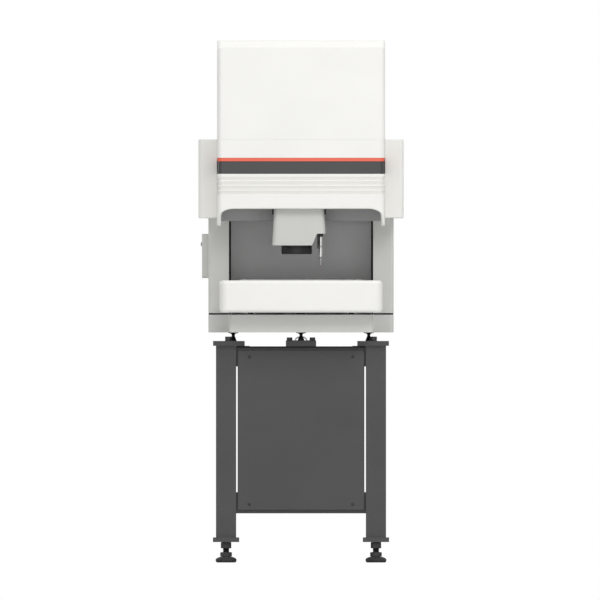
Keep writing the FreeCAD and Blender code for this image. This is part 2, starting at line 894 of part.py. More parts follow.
def make_top_cap():
    """Lid whose front and rear edges slope; hollow under a thin top."""
    body = new_body("top_cap", (0, 0, at.cover_top))
    side = new_sketch(body, "cap_side", "YZ_Plane", -half_cover)
    front = at.cover_front
    rear = at.cover_rear
    slope = at.cap_slope
    add_outline(side, [(front, 0), (rear, 0), (rear, at.cap_lip), (rear - slope, at.cap_tall),
                       (front + slope, at.cap_tall), (front, at.cap_lip)])
    pad(body, side, at.cover_wide)
    dress(body, "Fillet", at.cover_corner, lambda edge: along(edge, "z"))
    dress(body, "Fillet", at.cap_edge, lambda edge: along(edge, "y")
          and near(edge.CenterOfMass.z, at.cap_tall))
    hollow = new_sketch(body, "cap_hollow", "YZ_Plane", at.cover_corner - half_cover)
    wall = at.cover_sheet
    add_outline(hollow, [(front + slope, 0), (rear - slope, 0), (rear - slope, at.cap_tall - wall),
                         (front + slope, at.cap_tall - wall)])
    pocket(body, hollow, at.cover_wide - at.cover_corner * 2)


def add_u_shape(sketch, inset, inner, inside, round_in):
    """Plan of a wall that covers the front and turns back along both sides."""
    rear = at.fascia_rear
    half = half_cover - inset
    front = at.cover_front + inset
    radius = at.cover_corner - inset
    add_outline(sketch, [(-half, front, radius), (half, front, radius), (half, rear),
                         (inner, rear), (inner, inside, round_in), (-inner, inside, round_in),
                         (-inner, rear), (-half, rear)])


def make_front_fascia():
    """Moulded front: flat band, louvres that wrap round the corners, and an arched visor."""
    body = new_body("front_fascia")
    inner = half_cover - at.visor_wall
    inside = at.cover_front + at.visor_front_wall
    round_in = at.cover_corner - at.visor_front_wall
    visor = new_sketch(body, "visor_plan", "XY_Plane", at.visor_bottom)
    add_u_shape(visor, 0, inner, inside, round_in)
    pad(body, visor, at.visor_top - at.visor_bottom)
    arch = new_sketch(body, "arch_cut", "XZ_Plane", -at.cover_front - at.cover_corner)
    add_outline(arch, [(-inner, at.visor_bottom), (inner, at.visor_bottom),
                       (inner, at.arch_top, at.arch_round), (-inner, at.arch_top, at.arch_round)])
    pocket(body, arch, at.cover_corner)
    core = new_sketch(body, "fascia_core", "XY_Plane", at.visor_top)
    add_u_shape(core, at.rib_proud, inner, inside, round_in)
    pad(body, core, at.cover_bottom - at.visor_top)
    band = new_sketch(body, "fascia_band", "XY_Plane", at.band_bottom)
    add_u_shape(band, 0, inner, inside, round_in)
    pad(body, band, at.cover_bottom - at.band_bottom)
    for row in range(int(at.rib_count.number)):
        low = at.visor_top + at.rib_pitch * (row + 1) - at.rib_tall
        rib = new_sketch(body, "rib_%d" % (row + 1), "XY_Plane", low)
        add_u_shape(rib, 0, inner, inside, round_in)
        pad(body, rib, at.rib_tall)
        dress(body, "Chamfer", at.rib_slope,
              lambda edge: near(edge.CenterOfMass.z, low + at.rib_tall) and on_outline(edge))


def on_outline(edge):
    """Tells whether an edge follows the front's outermost plan."""
    if isinstance(edge.Curve, Part.Circle):
        return near(edge.Curve.Radius, at.cover_corner)
    return (near(abs(edge.CenterOfMass.x), half_cover)
            or near(edge.CenterOfMass.y, at.cover_front))


def make_trim(label, low, tall, inset):
    """Strip that wraps the front between the louvres and the flat band."""
    body = new_body(label)
    plan = new_sketch(body, label + "_plan", "XY_Plane", low)
    proud = at.rib_proud
    add_u_shape(plan, inset, half_cover - proud, at.cover_front + proud, at.cover_corner - proud)
    pad(body, plan, tall)


wing_outer = half_cover + at.wing_width
wing_front = at.fascia_rear


def make_wing():
    """Cover over the end of the beam, open to the middle and where the column passes."""
    body = new_body("wing_right")
    sheet_wall = at.wing_sheet
    rear = at.cover_rear
    plan = new_sketch(body, "wing_plan", "XY_Plane", at.wing_bottom)
    add_outline(plan, [(half_cover, wing_front), (wing_outer, wing_front, at.wing_corner),
                       (wing_outer, rear, at.wing_corner), (half_cover, rear)])
    pad(body, plan, at.cover_bottom - at.wing_bottom)
    inside = new_sketch(body, "wing_inside", "XY_Plane", at.wing_bottom + sheet_wall)
    round_in = at.wing_corner - sheet_wall
    outer = wing_outer - sheet_wall
    add_outline(inside, [(half_cover, wing_front + sheet_wall),
                         (outer, wing_front + sheet_wall, round_in),
                         (outer, rear - sheet_wall, round_in), (half_cover, rear - sheet_wall)])
    pocket(body, inside, at.cover_bottom - at.wing_bottom - sheet_wall * 2)
    passage = new_sketch(body, "column_passage", "XY_Plane", at.wing_bottom)
    add_rectangle(passage, half_cover - sheet_wall, half_machine + at.column_clear,
                  at.column_front - at.column_clear, at.column_rear + at.column_clear)
    pocket(body, passage, sheet_wall * 2)
    bosses = new_sketch(body, "wing_bosses", "YZ_Plane", half_machine)
    middle = at.beam_front + at.beam_deep / 2
    half_boss = at.boss_side / 2
    for share in (1, 3):
        up = at.column_top + at.beam_tall * share / 4
        add_rectangle(bosses, middle - half_boss, middle + half_boss, up - half_boss, up + half_boss)
    pad(body, bosses, wing_outer - sheet_wall - half_machine)
    twin(body, "wing_left")


def make_rear_cover():
    """Housing of the electronics behind the columns, with two stacks of vents."""
    body = new_body("rear_cover")
    plan = new_sketch(body, "rear_cover_plan", "XY_Plane", at.rear_box_bottom)
    front = at.column_rear
    rear = at.rear_box_rear
    corner = at.rear_box_corner
    wall = at.cover_sheet
    add_outline(plan, [(-half_cover, front), (half_cover, front), (half_cover, rear, corner),
                       (-half_cover, rear, corner)])
    pad(body, plan, at.cover_bottom - at.rear_box_bottom)
    inside = new_sketch(body, "rear_cover_inside", "XY_Plane", at.rear_box_bottom + wall)
    round_in = corner - wall
    add_outline(inside, [(wall - half_cover, front), (half_cover - wall, front),
                         (half_cover - wall, rear - wall, round_in),
                         (wall - half_cover, rear - wall, round_in)])
    pocket(body, inside, at.cover_bottom - at.rear_box_bottom - wall * 2)
    vents = new_sketch(body, "rear_vents", "XZ_Plane", -rear)
    for row in range(int(at.vent_count.number)):
        low = at.rear_box_bottom + at.vent_rise + at.vent_pitch * row
        for left in (-at.vent_middle - at.vent_length / 2, at.vent_middle - at.vent_length / 2):
            add_rectangle(vents, left, left + at.vent_length, low, low + at.vent_tall)
    pocket(body, vents, wall * 2)
    hole = new_sketch(body, "inlet_hole", "XZ_Plane", -rear)
    add_inlet_outline(hole, at.run_gap)
    pocket(body, hole, wall * 2)


inlet_z = at.rear_box_bottom + at.inlet_rise


def add_inlet_outline(sketch, grow):
    half = at.inlet_wide / 2 + grow
    add_rectangle(sketch, at.inlet_x - half, at.inlet_x + half,
                  inlet_z - grow, inlet_z + at.inlet_tall + grow)


make_upper_cover()
make_top_cap()
make_front_fascia()
dark_top = at.band_bottom - at.stripe_tall
make_trim("dark_band", dark_top - at.dark_tall, at.dark_tall, at.dark_inset)
make_trim("red_stripe", dark_top, at.stripe_tall, at.stripe_inset)
make_wing()
make_rear_cover()


def make_power_inlet():
    """Mains socket let into the rear cover, with three blades in its recess."""
    body = new_body("power_inlet")
    inner_end = at.rear_box_rear - at.inlet_deep
    case = new_sketch(body, "inlet_case", "XZ_Plane", -at.rear_box_rear)
    add_inlet_outline(case, 0)
    pad(body, case, at.inlet_deep)
    recess = new_sketch(body, "inlet_recess", "XZ_Plane", -at.rear_box_rear)
    add_inlet_outline(recess, -at.inlet_wall)
    pocket(body, recess, at.inlet_deep - at.inlet_wall)
    blades = new_sketch(body, "inlet_blades", "XZ_Plane", -inner_end - at.inlet_wall)
    half = at.blade_wide / 2
    middle = inlet_z + at.inlet_tall / 2
    for across in (-at.blade_pitch, 0, at.blade_pitch):
        add_rectangle(blades, at.inlet_x + across - half, at.inlet_x + across + half,
                      middle - at.blade_tall / 2, middle + at.blade_tall / 2)
    pad(body, blades, at.blade_long, True)


make_power_inlet()

# Linear guides: a waisted rail and a truck that grips it with a running gap
waist = at.guide_waist


def rail_points():
    """Section of the rail as distances across it and out from its base."""
    half = at.guide_wide / 2
    low = at.guide_tall / 3
    high = at.guide_tall * 2 / 3
    right = [(half, 0), (half, low - waist), (half - waist, low), (half - waist, high - waist),
             (half, high), (half, at.guide_tall)]
    return right + [(-across, out) for across, out in reversed(right)]


def truck_points(foot):
    """Section of the truck, open towards the rail's base."""
    half = at.guide_wide / 2 + at.run_gap
    low = at.guide_tall / 3
    high = at.guide_tall * 2 / 3
    gap = at.run_gap
    outer = at.truck_wide / 2
    right = [(half, foot), (half, low - waist + gap), (half - waist, low + gap),
             (half - waist, high - waist - gap), (half, high - gap), (half, at.guide_tall + gap)]
    return ([(outer, at.truck_tall), (outer, foot)] + right
            + [(-across, out) for across, out in reversed(right)]
            + [(-outer, foot), (-outer, at.truck_tall)])


def add_along_y(sketch, points, x, z):
    """Section of a guide that runs along Y and stands on a level face."""
    add_outline(sketch, [(x + across, z + out) for across, out in points])


def add_along_x(sketch, points, y, z):
    """Section of a guide that runs along X on a face that looks forwards."""
    add_outline(sketch, [(y - out, z + across) for across, out in points])


def add_along_z(sketch, points, x, y):
    """Section of an upright guide on a face that looks forwards."""
    add_outline(sketch, [(x + across, y - out) for across, out in points])


def add_nut(sketch, left, right, low, high, across, up, radius):
    add_rectangle(sketch, left, right, low, high)
    add_circle(sketch, across, up, radius + at.run_gap)


def make_screw(label, radius, length, place, plane):
    """Ball screw that runs from its place along the plane's normal."""
    body = new_body(label, place)
    core = new_sketch(body, label + "_core", plane)
    add_circle(core, 0, 0, radius)
    pad(body, core, length)


screw_y_z = bed_top_z + at.bearing_side / 2
nut_half = at.nut_wide / 2
table_low_z = bed_top_z + at.truck_tall
half_table = at.table_wide / 2
table_front = at.stage_cover_rear
table_rear = table_front + at.table_deep


def make_y_rails():
    body = new_body("y_rails")
    section = new_sketch(body, "y_rail_section", "XZ_Plane", -at.y_rail_front - at.y_rail_length)
    add_along_y(section, rail_points(), at.guide_spread / 2, bed_top_z)
    pad(body, section, at.y_rail_length)
    mirror(body, "YZ_Plane")


def make_y_trucks():
    """Four trucks and the nut of the ball screw, bolted under the stage table."""
    body = new_body("y_trucks", (0, at.y_truck_middle, 0))
    section = new_sketch(body, "y_truck_section", "XZ_Plane",
                         -at.y_truck_spread / 2 - at.truck_long / 2)
    add_along_y(section, truck_points(at.truck_foot), at.guide_spread / 2, bed_top_z)
    pad(body, section, at.truck_long)
    mirror(body, "YZ_Plane")
    mirror(body, "XZ_Plane")
    nut = new_sketch(body, "y_nut_section", "XZ_Plane", -at.nut_long / 2)
    add_nut(nut, -nut_half, nut_half, bed_top_z + at.nut_clear, table_low_z,
            0, screw_y_z, at.screw_radius)
    pad(body, nut, at.nut_long)


def make_y_drive():
    """Two bearing blocks on the bed and the motor behind them."""
    body = new_body("y_drive")
    half = at.bearing_side / 2
    for name, low in (("front", at.y_bearing_front), ("rear", at.y_bearing_rear)):
        block = new_sketch(body, "y_bearing_" + name, "XZ_Plane", -low - at.bearing_long)
        add_nut(block, -half, half, bed_top_z, bed_top_z + at.bearing_side,
                0, screw_y_z, at.screw_radius)
        pad(body, block, at.bearing_long)
    motor = new_sketch(body, "y_motor", "XZ_Plane",
                       -at.y_bearing_rear - at.bearing_long - at.motor_long)
    bevel = at.motor_bevel
    add_outline(motor, [(-half, bed_top_z), (half, bed_top_z),
                        (half, bed_top_z + at.bearing_side, bevel),
                        (-half, bed_top_z + at.bearing_side, bevel)])
    pad(body, motor, at.motor_long)


def make_stage_table():
    """Aluminium tray: floor over the trucks, walls, and a rebate for the frame."""
    body = new_body("stage_table")
    plan = new_sketch(body, "table_plan", "XY_Plane", table_low_z)
    add_rectangle(plan, -half_table, half_table, table_front, table_rear)
    pad(body, plan, at.table_top - table_low_z)
    frame_low = at.frame_top - at.frame_thick
    half_frame = at.frame_wide / 2 + at.run_gap
    half_deep = at.frame_deep / 2 + at.run_gap
    rebate = new_sketch(body, "table_rebate", "XY_Plane", frame_low)
    add_rectangle(rebate, -half_frame, half_frame, at.axis_y - half_deep, at.axis_y + half_deep)
    pocket(body, rebate, at.frame_top - frame_low)
    ledge = at.table_ledge
    well = new_sketch(body, "table_well", "XY_Plane", table_low_z + at.table_floor)
    add_rectangle(well, ledge - half_frame, half_frame - ledge,
                  at.axis_y - half_deep + ledge, at.axis_y + half_deep - ledge)
    pocket(body, well, at.frame_top - table_low_z)


def make_stage_frame():
    """Frame with a lip under the glass and four threaded holes for fixtures."""
    body = new_body("stage_frame", (0, at.axis_y, 0))
    half_wide = at.frame_wide / 2
    half_deep = at.frame_deep / 2
    low = at.frame_top - at.frame_thick
    plan = new_sketch(body, "frame_plan", "XY_Plane", low)
    add_rectangle(plan, -half_wide, half_wide, -half_deep, half_deep)
    pad(body, plan, at.frame_thick)
    seat = new_sketch(body, "glass_seat", "XY_Plane", at.frame_top - at.glass_thick)
    half_glass = at.glass_wide / 2
    half_glass_deep = at.glass_deep / 2
    gap = at.run_gap
    add_rectangle(seat, -half_glass - gap, half_glass + gap,
                  -half_glass_deep - gap, half_glass_deep + gap)
    pocket(body, seat, at.glass_thick)
    window = new_sketch(body, "frame_window", "XY_Plane", low)
    lip = at.glass_lip
    add_rectangle(window, lip - half_glass, half_glass - lip,
                  lip - half_glass_deep, half_glass_deep - lip)
    pocket(body, window, at.frame_thick)
    holes = new_sketch(body, "fixture_holes", "XY_Plane", low)
    for across in (-at.fixture_pitch_x / 2, at.fixture_pitch_x / 2):
        for along_y in (-at.fixture_pitch_y / 2, at.fixture_pitch_y / 2):
            add_circle(holes, across, along_y, at.fixture_hole)
    pocket(body, holes, at.frame_thick)


def make_plate(label, half_wide, middle, half_deep, low, high, corner=None):
    """Flat plate of the stage, centred on the machine."""
    body = new_body(label, (0, middle, 0))
    plan = new_sketch(body, label + "_plan", "XY_Plane", low)
    spots = [(-half_wide, -half_deep), (half_wide, -half_deep), (half_wide, half_deep),
             (-half_wide, half_deep)]
    add_outline(plan, spots if corner is None else [spot + (corner,) for spot in spots])
    pad(body, plan, high - low)


def make_stage_cover():
    """Deep moulded front of the stage, open at the back, with a lip round its underside."""
    body = new_body("stage_front_cover")
    half = at.stage_cover_wide / 2
    front = at.stage_cover_front
    rear = at.stage_cover_rear
    corner = at.stage_cover_corner
    low = at.stage_cover_bottom
    high = at.stage_cover_top
    plan = new_sketch(body, "stage_cover_plan", "XY_Plane", low)
    add_outline(plan, [(-half, front, corner), (half, front, corner), (half, rear), (-half, rear)])
    pad(body, plan, high - low)
    dress(body, "Fillet", at.stage_cover_edge,
          lambda edge: (near(edge.CenterOfMass.z, low) or near(edge.CenterOfMass.z, high))
          and not near(edge.CenterOfMass.y, rear))
    wall = at.stage_cover_sheet
    lip = wall + at.stage_cover_edge
    inside = new_sketch(body, "stage_cover_inside", "XY_Plane", low + lip)
    round_in = corner - wall
    add_outline(inside, [(wall - half, front + wall, round_in), (half - wall, front + wall, round_in),
                         (half - wall, rear), (wall - half, rear)])
    pocket(body, inside, high - low - lip - wall)
    mouth = new_sketch(body, "stage_cover_mouth", "XY_Plane", low)
    round_lip = corner - lip
    add_outline(mouth, [(lip - half, front + lip, round_lip), (half - lip, front + lip, round_lip),
                        (half - lip, rear), (lip - half, rear)])
    pocket(body, mouth, lip + wall)


make_y_rails()
make_y_trucks()
make_y_drive()
y_screw_front = at.y_bearing_front
y_screw_rear = at.y_bearing_rear + at.bearing_long
make_screw("y_screw", at.screw_radius, y_screw_rear - y_screw_front,
           (0, y_screw_rear, screw_y_z), "XZ_Plane")
make_stage_table()
make_stage_frame()
make_plate("stage_glass", at.glass_wide / 2, at.axis_y, at.glass_deep / 2,
           at.frame_top - at.glass_thick, at.frame_top)
make_plate("stage_light", at.light_wide / 2, at.axis_y, at.light_deep / 2,
           table_low_z + at.table_floor, table_low_z + at.table_floor + at.light_tall,
           at.table_ledge / 2)
make_stage_cover()

# Cross guide on the front of the beam
screw_x_y = at.beam_front - at.bearing_side / 2
carriage_rear = at.beam_front - at.truck_tall
carriage_front = carriage_rear - at.carriage_thick


def make_x_rails():
    body = new_body("x_rails")
    section = new_sketch(body, "x_rail_section", "YZ_Plane", -at.x_guide_length / 2)
    for up in (at.x_guide_low, at.x_guide_high):
        add_along_x(section, rail_points(), at.beam_front, up)
    pad(body, section, at.x_guide_length)


def make_x_trucks():
    """Four trucks and the nut of the ball screw, on the back of the carriage."""
    body = new_body("x_trucks", (at.axis_x, 0, 0))
    half = at.truck_long / 2
    for name, middle in (("left", -at.x_truck_spread / 2), ("right", at.x_truck_spread / 2)):
        section = new_sketch(body, "x_truck_section_" + name, "YZ_Plane", middle - half)
        for up in (at.x_guide_low, at.x_guide_high):
            add_along_x(section, truck_points(at.truck_foot), at.beam_front, up)
        pad(body, section, at.truck_long)
    nut = new_sketch(body, "x_nut_section", "YZ_Plane", -at.nut_long / 2)
    add_nut(nut, carriage_rear, at.beam_front - at.nut_clear, at.x_screw_rise - nut_half,
            at.x_screw_rise + nut_half, screw_x_y, at.x_screw_rise, at.screw_radius)
    pad(body, nut, at.nut_long)


def make_x_drive():
    """Two bearing blocks on the beam and the motor beside the right one."""
    body = new_body("x_drive")
    half = at.bearing_side / 2
    for name, low in (("left", at.x_bearing_left), ("right", at.x_bearing_right)):
        block = new_sketch(body, "x_bearing_" + name, "YZ_Plane", low)
        add_nut(block, at.beam_front - at.bearing_side, at.beam_front, at.x_screw_rise - half,
                at.x_screw_rise + half, screw_x_y, at.x_screw_rise, at.screw_radius)
        pad(body, block, at.bearing_long)
    motor = new_sketch(body, "x_motor", "YZ_Plane", at.x_bearing_right + at.bearing_long)
    bevel = at.motor_bevel
    add_outline(motor, [(at.beam_front - at.bearing_side, at.x_screw_rise - half, bevel),
                        (at.beam_front, at.x_screw_rise - half),
                        (at.beam_front, at.x_screw_rise + half),
                        (at.beam_front - at.bearing_side, at.x_screw_rise + half, bevel)])
    pad(body, motor, at.motor_long)


def make_carriage():
    """Upright plate that joins the cross guide to the vertical one."""
    body = new_body("carriage_plate")
    left = at.head_middle - at.carriage_wide / 2
    right = at.head_middle + at.carriage_wide / 2
    face = new_sketch(body, "carriage_face", "XZ_Plane", -carriage_rear)
    corner = at.carriage_corner
    add_outline(face, [(left, at.carriage_bottom, corner), (right, at.carriage_bottom, corner),
                       (right, at.carriage_top, corner), (left, at.carriage_top, corner)])
    pad(body, face, at.carriage_thick)


screw_z_y = carriage_front - at.bearing_side / 2
slide_rear = carriage_front - at.truck_tall
slide_front = slide_rear - at.z_slide_thick
slide_left = at.head_middle - at.z_slide_wide / 2
slide_right = at.head_middle + at.z_slide_wide / 2


def make_z_rails():
    body = new_body("z_rails", (at.axis_x, 0, 0))
    section = new_sketch(body, "z_rail_section", "XY_Plane", at.z_rail_bottom)
    add_along_z(section, rail_points(), at.z_guide_spread / 2, carriage_front)
    pad(body, section, at.z_rail_length)
    mirror(body, "YZ_Plane")


def make_z_drive():
    """Bearings at both ends of the upright screw, and the motor on top."""
    body = new_body("z_drive", (at.axis_x, 0, 0))
    half = at.bearing_side / 2
    for name, low, tall in (("bottom", at.carriage_bottom, at.z_bearing_tall),
                            ("top", at.z_bearing_top, at.bearing_long)):
        block = new_sketch(body, "z_bearing_" + name, "XY_Plane", low)
        add_nut(block, -half, half, carriage_front - at.bearing_side, carriage_front,
                0, screw_z_y, at.z_screw_radius)
        pad(body, block, tall)
    motor = new_sketch(body, "z_motor", "XY_Plane", at.z_bearing_top + at.bearing_long)
    bevel = at.motor_bevel
    add_outline(motor, [(-half, carriage_front - at.bearing_side, bevel),
                        (half, carriage_front - at.bearing_side, bevel),
                        (half, carriage_front), (-half, carriage_front)])
    pad(body, motor, at.motor_long)


def make_z_slide():
    """Dark casting that carries the head, with its trucks and screw nut."""
    body = new_body("z_slide")
    plan = new_sketch(body, "z_slide_plan", "XY_Plane", at.z_slide_bottom)
    corner = at.carriage_corner
    add_outline(plan, [(slide_left, slide_front, corner), (slide_right, slide_front, corner),
                       (slide_right, slide_rear), (slide_left, slide_rear)])
    pad(body, plan, at.z_slide_top - at.z_slide_bottom)
    section = new_sketch(body, "z_truck_section", "XY_Plane", at.z_truck_bottom)
    for across in (-at.z_guide_spread / 2, at.z_guide_spread / 2):
        add_along_z(section, truck_points(at.truck_foot), at.axis_x + across, carriage_front)
    pad(body, section, at.z_truck_long)
    nut = new_sketch(body, "z_nut_section", "XY_Plane", at.z_nut_bottom)
    add_nut(nut, at.axis_x - nut_half, at.axis_x + nut_half, slide_rear,
            carriage_front - at.nut_clear, at.axis_x, screw_z_y, at.z_screw_radius)
    pad(body, nut, at.z_nut_tall)


def make_head_shell():
    """Tapered head cover, stepped at the right to clear the probe, open at the top."""
    body = new_body("head_shell")
    face = new_sketch(body, "shell_face", "XZ_Plane", -slide_front)
    taper = at.shell_taper
    add_outline(face, [(at.shell_left, at.shell_bottom), (at.shell_step_left, at.shell_bottom),
                       (at.shell_step_right, at.shell_shoulder), (at.shell_right, at.shell_shoulder),
                       (at.shell_right - taper, at.shell_top), (at.shell_left + taper, at.shell_top)])
    pad(body, face, at.shell_deep)
    front = slide_front - at.shell_deep
    dress(body, "Fillet", at.shell_corner, lambda edge: near(edge.Vertexes[0].Y, front)
          and near(edge.Vertexes[-1].Y, front)
          and near(max(v.Z for v in edge.Vertexes), at.shell_top)
          and not level_line(edge, at.shell_top))
    wall = at.shell_sheet
    main_left = at.shell_left + taper + wall
    main_right = at.shell_step_left - wall
    main = new_sketch(body, "shell_main_hollow", "XY_Plane", at.shell_bottom + wall)
    add_rectangle(main, main_left, main_right, front + wall, slide_front - wall)
    pocket(body, main, at.shell_top - at.shell_bottom)
    shoulder = new_sketch(body, "shell_shoulder_hollow", "XY_Plane", at.shell_shoulder + wall)
    add_rectangle(shoulder, main_left, at.shell_right - taper - wall, front + wall,
                  slide_front - wall)
    pocket(body, shoulder, at.shell_top - at.shell_shoulder)
    mouth = new_sketch(body, "lens_mouth", "XY_Plane", at.shell_bottom)
    add_circle(mouth, at.axis_x, at.axis_y, at.ring_bore)
    pocket(body, mouth, wall * 2)


def make_optics():
    """Objective, lens tube and camera in line, held to the slide by a bracket."""
    body = new_body("optics", (at.axis_x, at.axis_y, 0))
    nose_z = at.ring_bottom + at.lens_recess
    shelf_z = at.shell_bottom + at.shell_sheet * 2
    profile = new_sketch(body, "optics_profile", "XZ_Plane")
    add_outline(profile, [(0, nose_z), (at.lens_radius, nose_z), (at.lens_radius, shelf_z),
                          (at.tube_radius, shelf_z), (at.tube_radius, at.tube_top),
                          (0, at.tube_top)])
    revolve(body, profile)
    camera = new_sketch(body, "camera_plan", "XY_Plane", at.tube_top)
    half = at.camera_side / 2
    corner = at.camera_corner
    add_outline(camera, [(-half, -half, corner), (half, -half, corner), (half, half, corner),
                         (-half, half, corner)])
    pad(body, camera, at.camera_tall)
    bracket = new_sketch(body, "optics_bracket", "XY_Plane", at.bracket_rise)
    half_bracket = at.bracket_wide / 2
    add_rectangle(bracket, -half_bracket, half_bracket, 0, slide_front - at.axis_y)
    pad(body, bracket, at.bracket_tall)


def make_probe_bracket():
    """Cranked arm under the shoulder of the head that holds the probe."""
    body = new_body("probe_bracket")
    front = at.probe_y - at.arm_deep / 2
    side = new_sketch(body, "bracket_side", "XZ_Plane", -front - at.arm_deep)
    right = at.probe_x + at.probe_radius + at.arm_margin
    add_outline(side, [(at.arm_left, at.arm_bottom), (at.arm_left + at.arm_wide, at.arm_bottom),
                       (at.arm_left + at.arm_wide, at.probe_top), (right, at.probe_top),
                       (right, at.shell_shoulder), (at.arm_left, at.shell_shoulder)])
    pad(body, side, at.arm_deep)


pivot_z = at.probe_bottom - at.pivot_drop


def make_probe():
    """Touch probe with its module, and the two-axis pivot of the stylus below it."""
    place = (at.probe_x, at.probe_y, 0)
    turned("probe_body", [
        (0, at.probe_bottom), (at.module_radius, at.probe_bottom),
        (at.module_radius, at.probe_joint - at.notch_tall),
        (at.probe_neck, at.probe_joint - at.notch_tall), (at.probe_neck, at.probe_joint),
        (at.probe_radius, at.probe_joint), (at.probe_radius, at.probe_top), (0, at.probe_top)], place)
    low = pivot_z - at.gimbal_tall / 2
    high = pivot_z + at.gimbal_tall / 2
    turned("stylus_gimbal", [(at.gimbal_bore, low), (at.gimbal_radius, low),
                             (at.gimbal_radius, high), (at.gimbal_bore, high)], place)
    stylus = new_body("stylus", place)
    profile = new_sketch(stylus, "stylus_profile", "XZ_Plane")
    hub = at.gimbal_bore - at.run_gap
    ball_z = at.stylus_tip + at.ball_radius
    add_outline(profile, [(0, ball_z), (at.stylus_radius, ball_z), (at.stylus_radius, low),
                          (hub, low), (hub, high), (0, high)])
    revolve(stylus, profile)
    ball = stylus.newObject("PartDesign::AdditiveSphere", "ruby_ball")
    ball.setExpression("Radius", formula(at.ball_radius))
    ball.AttachmentSupport = [(origin_plane(stylus, "XY_Plane"), "")]
    ball.MapMode = "FlatFace"
    ball.setExpression("AttachmentOffset.Base.z", formula(ball_z))
    doc.recompute()


make_x_rails()
make_x_trucks()
make_x_drive()
x_screw_right = at.x_bearing_right + at.bearing_long
make_screw("x_screw", at.screw_radius, x_screw_right - at.x_bearing_left,
           (at.x_bearing_left, screw_x_y, at.x_screw_rise), "YZ_Plane")
make_carriage()
make_z_rails()
make_z_drive()
make_screw("z_screw", at.z_screw_radius, at.z_bearing_top + at.bearing_long - at.carriage_bottom,
           (at.axis_x, screw_z_y, at.carriage_bottom), "XY_Plane")
make_z_slide()
make_head_shell()
make_optics()
turned("ring_light", [(at.ring_bore, at.ring_bottom), (at.ring_radius, at.ring_bottom),
                      (at.ring_radius, at.shell_bottom), (at.ring_bore, at.shell_bottom)],
       (at.axis_x, at.axis_y, 0))
make_probe_bracket()
make_probe()

button_y = at.switch_front + at.switch_deep / 2


def make_switch_box():
    """Control box on the outer side of the left column, bored for its push button."""
    body = new_body("switch_box")
    side = new_sketch(body, "switch_box_side", "YZ_Plane", at.switch_left)
    corner = at.switch_round
    rear = at.switch_front + at.switch_deep
    add_outline(side, [(at.switch_front, at.switch_bottom, corner), (rear, at.switch_bottom, corner),
                       (rear, at.switch_top, corner), (at.switch_front, at.switch_top, corner)])
    pad(body, side, -half_machine - at.switch_left)
    bore = new_sketch(body, "button_bore", "YZ_Plane", at.switch_left)
    add_circle(bore, button_y, at.button_rise, at.button_radius + at.run_gap)
    pocket(body, bore, at.button_long - at.button_proud + at.button_travel * 2)


def make_button():
    body = new_body("power_button", (at.switch_left - at.button_proud, button_y, at.button_rise))
    face = new_sketch(body, "button_face", "YZ_Plane")
    add_circle(face, 0, 0, at.button_radius)
    pad(body, face, at.button_long)


make_switch_box()
make_button()

doc.recompute()
for item in doc.Objects:
    if "Invalid" in item.State or "Error" in item.State:
        raise ValueError("failed: " + item.Name)
for node in nodes:
    if node.Shape.isNull() or not node.Shape.isValid():
        raise ValueError("bad shape: " + node.Label)

os.makedirs("parts", exist_ok=True)
for node in nodes:
    node.Shape.exportStep("parts/" + node.Label + ".step")
print(len(nodes), "nodes written")
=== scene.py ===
import json
import math

import bmesh
import bpy
import numpy as np
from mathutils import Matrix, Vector

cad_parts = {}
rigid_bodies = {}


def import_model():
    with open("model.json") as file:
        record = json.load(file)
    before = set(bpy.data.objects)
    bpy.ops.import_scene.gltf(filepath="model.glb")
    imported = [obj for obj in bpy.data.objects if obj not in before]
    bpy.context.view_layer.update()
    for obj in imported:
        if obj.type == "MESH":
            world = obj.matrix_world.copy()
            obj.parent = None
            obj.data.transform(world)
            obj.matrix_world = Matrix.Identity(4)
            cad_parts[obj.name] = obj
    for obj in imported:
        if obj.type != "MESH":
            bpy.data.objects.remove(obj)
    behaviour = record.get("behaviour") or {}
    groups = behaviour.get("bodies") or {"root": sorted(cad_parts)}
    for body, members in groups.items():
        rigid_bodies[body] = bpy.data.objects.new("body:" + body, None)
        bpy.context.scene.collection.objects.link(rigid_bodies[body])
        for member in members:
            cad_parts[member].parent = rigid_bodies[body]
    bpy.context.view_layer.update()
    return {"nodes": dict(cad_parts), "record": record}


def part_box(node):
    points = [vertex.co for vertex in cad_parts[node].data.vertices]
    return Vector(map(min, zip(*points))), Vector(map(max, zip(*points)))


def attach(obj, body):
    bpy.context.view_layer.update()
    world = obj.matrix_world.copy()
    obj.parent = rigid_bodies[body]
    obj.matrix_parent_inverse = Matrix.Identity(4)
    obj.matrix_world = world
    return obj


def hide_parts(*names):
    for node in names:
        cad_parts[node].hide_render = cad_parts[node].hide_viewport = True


for thing in list(bpy.data.objects):  # the startup scene's own things
    bpy.data.objects.remove(thing)
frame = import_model()
print("frame loaded with", len(frame["nodes"]), "nodes")

mm = 0.001
quarter = math.pi / 2


# Materials: a socket that can be added and multiplied, and a material that makes its nodes
class Wire:  # wraps a socket, and each sum with it adds a Math node
    def __init__(self, finish, socket):
        self.finish = finish
        self.socket = socket

    def sum(self, operation, first, second):
        return self.finish.node("ShaderNodeMath", {"operation": operation}, {0: first, 1: second})

    def __add__(self, other):
        return self.sum("ADD", self, other)

    def __radd__(self, other):
        return self.sum("ADD", other, self)

    def __sub__(self, other):
        return self.sum("SUBTRACT", self, other)

    def __rsub__(self, other):
        return self.sum("SUBTRACT", other, self)

    def __mul__(self, other):
        return self.sum("MULTIPLY", self, other)

    def __rmul__(self, other):
        return self.sum("MULTIPLY", other, self)


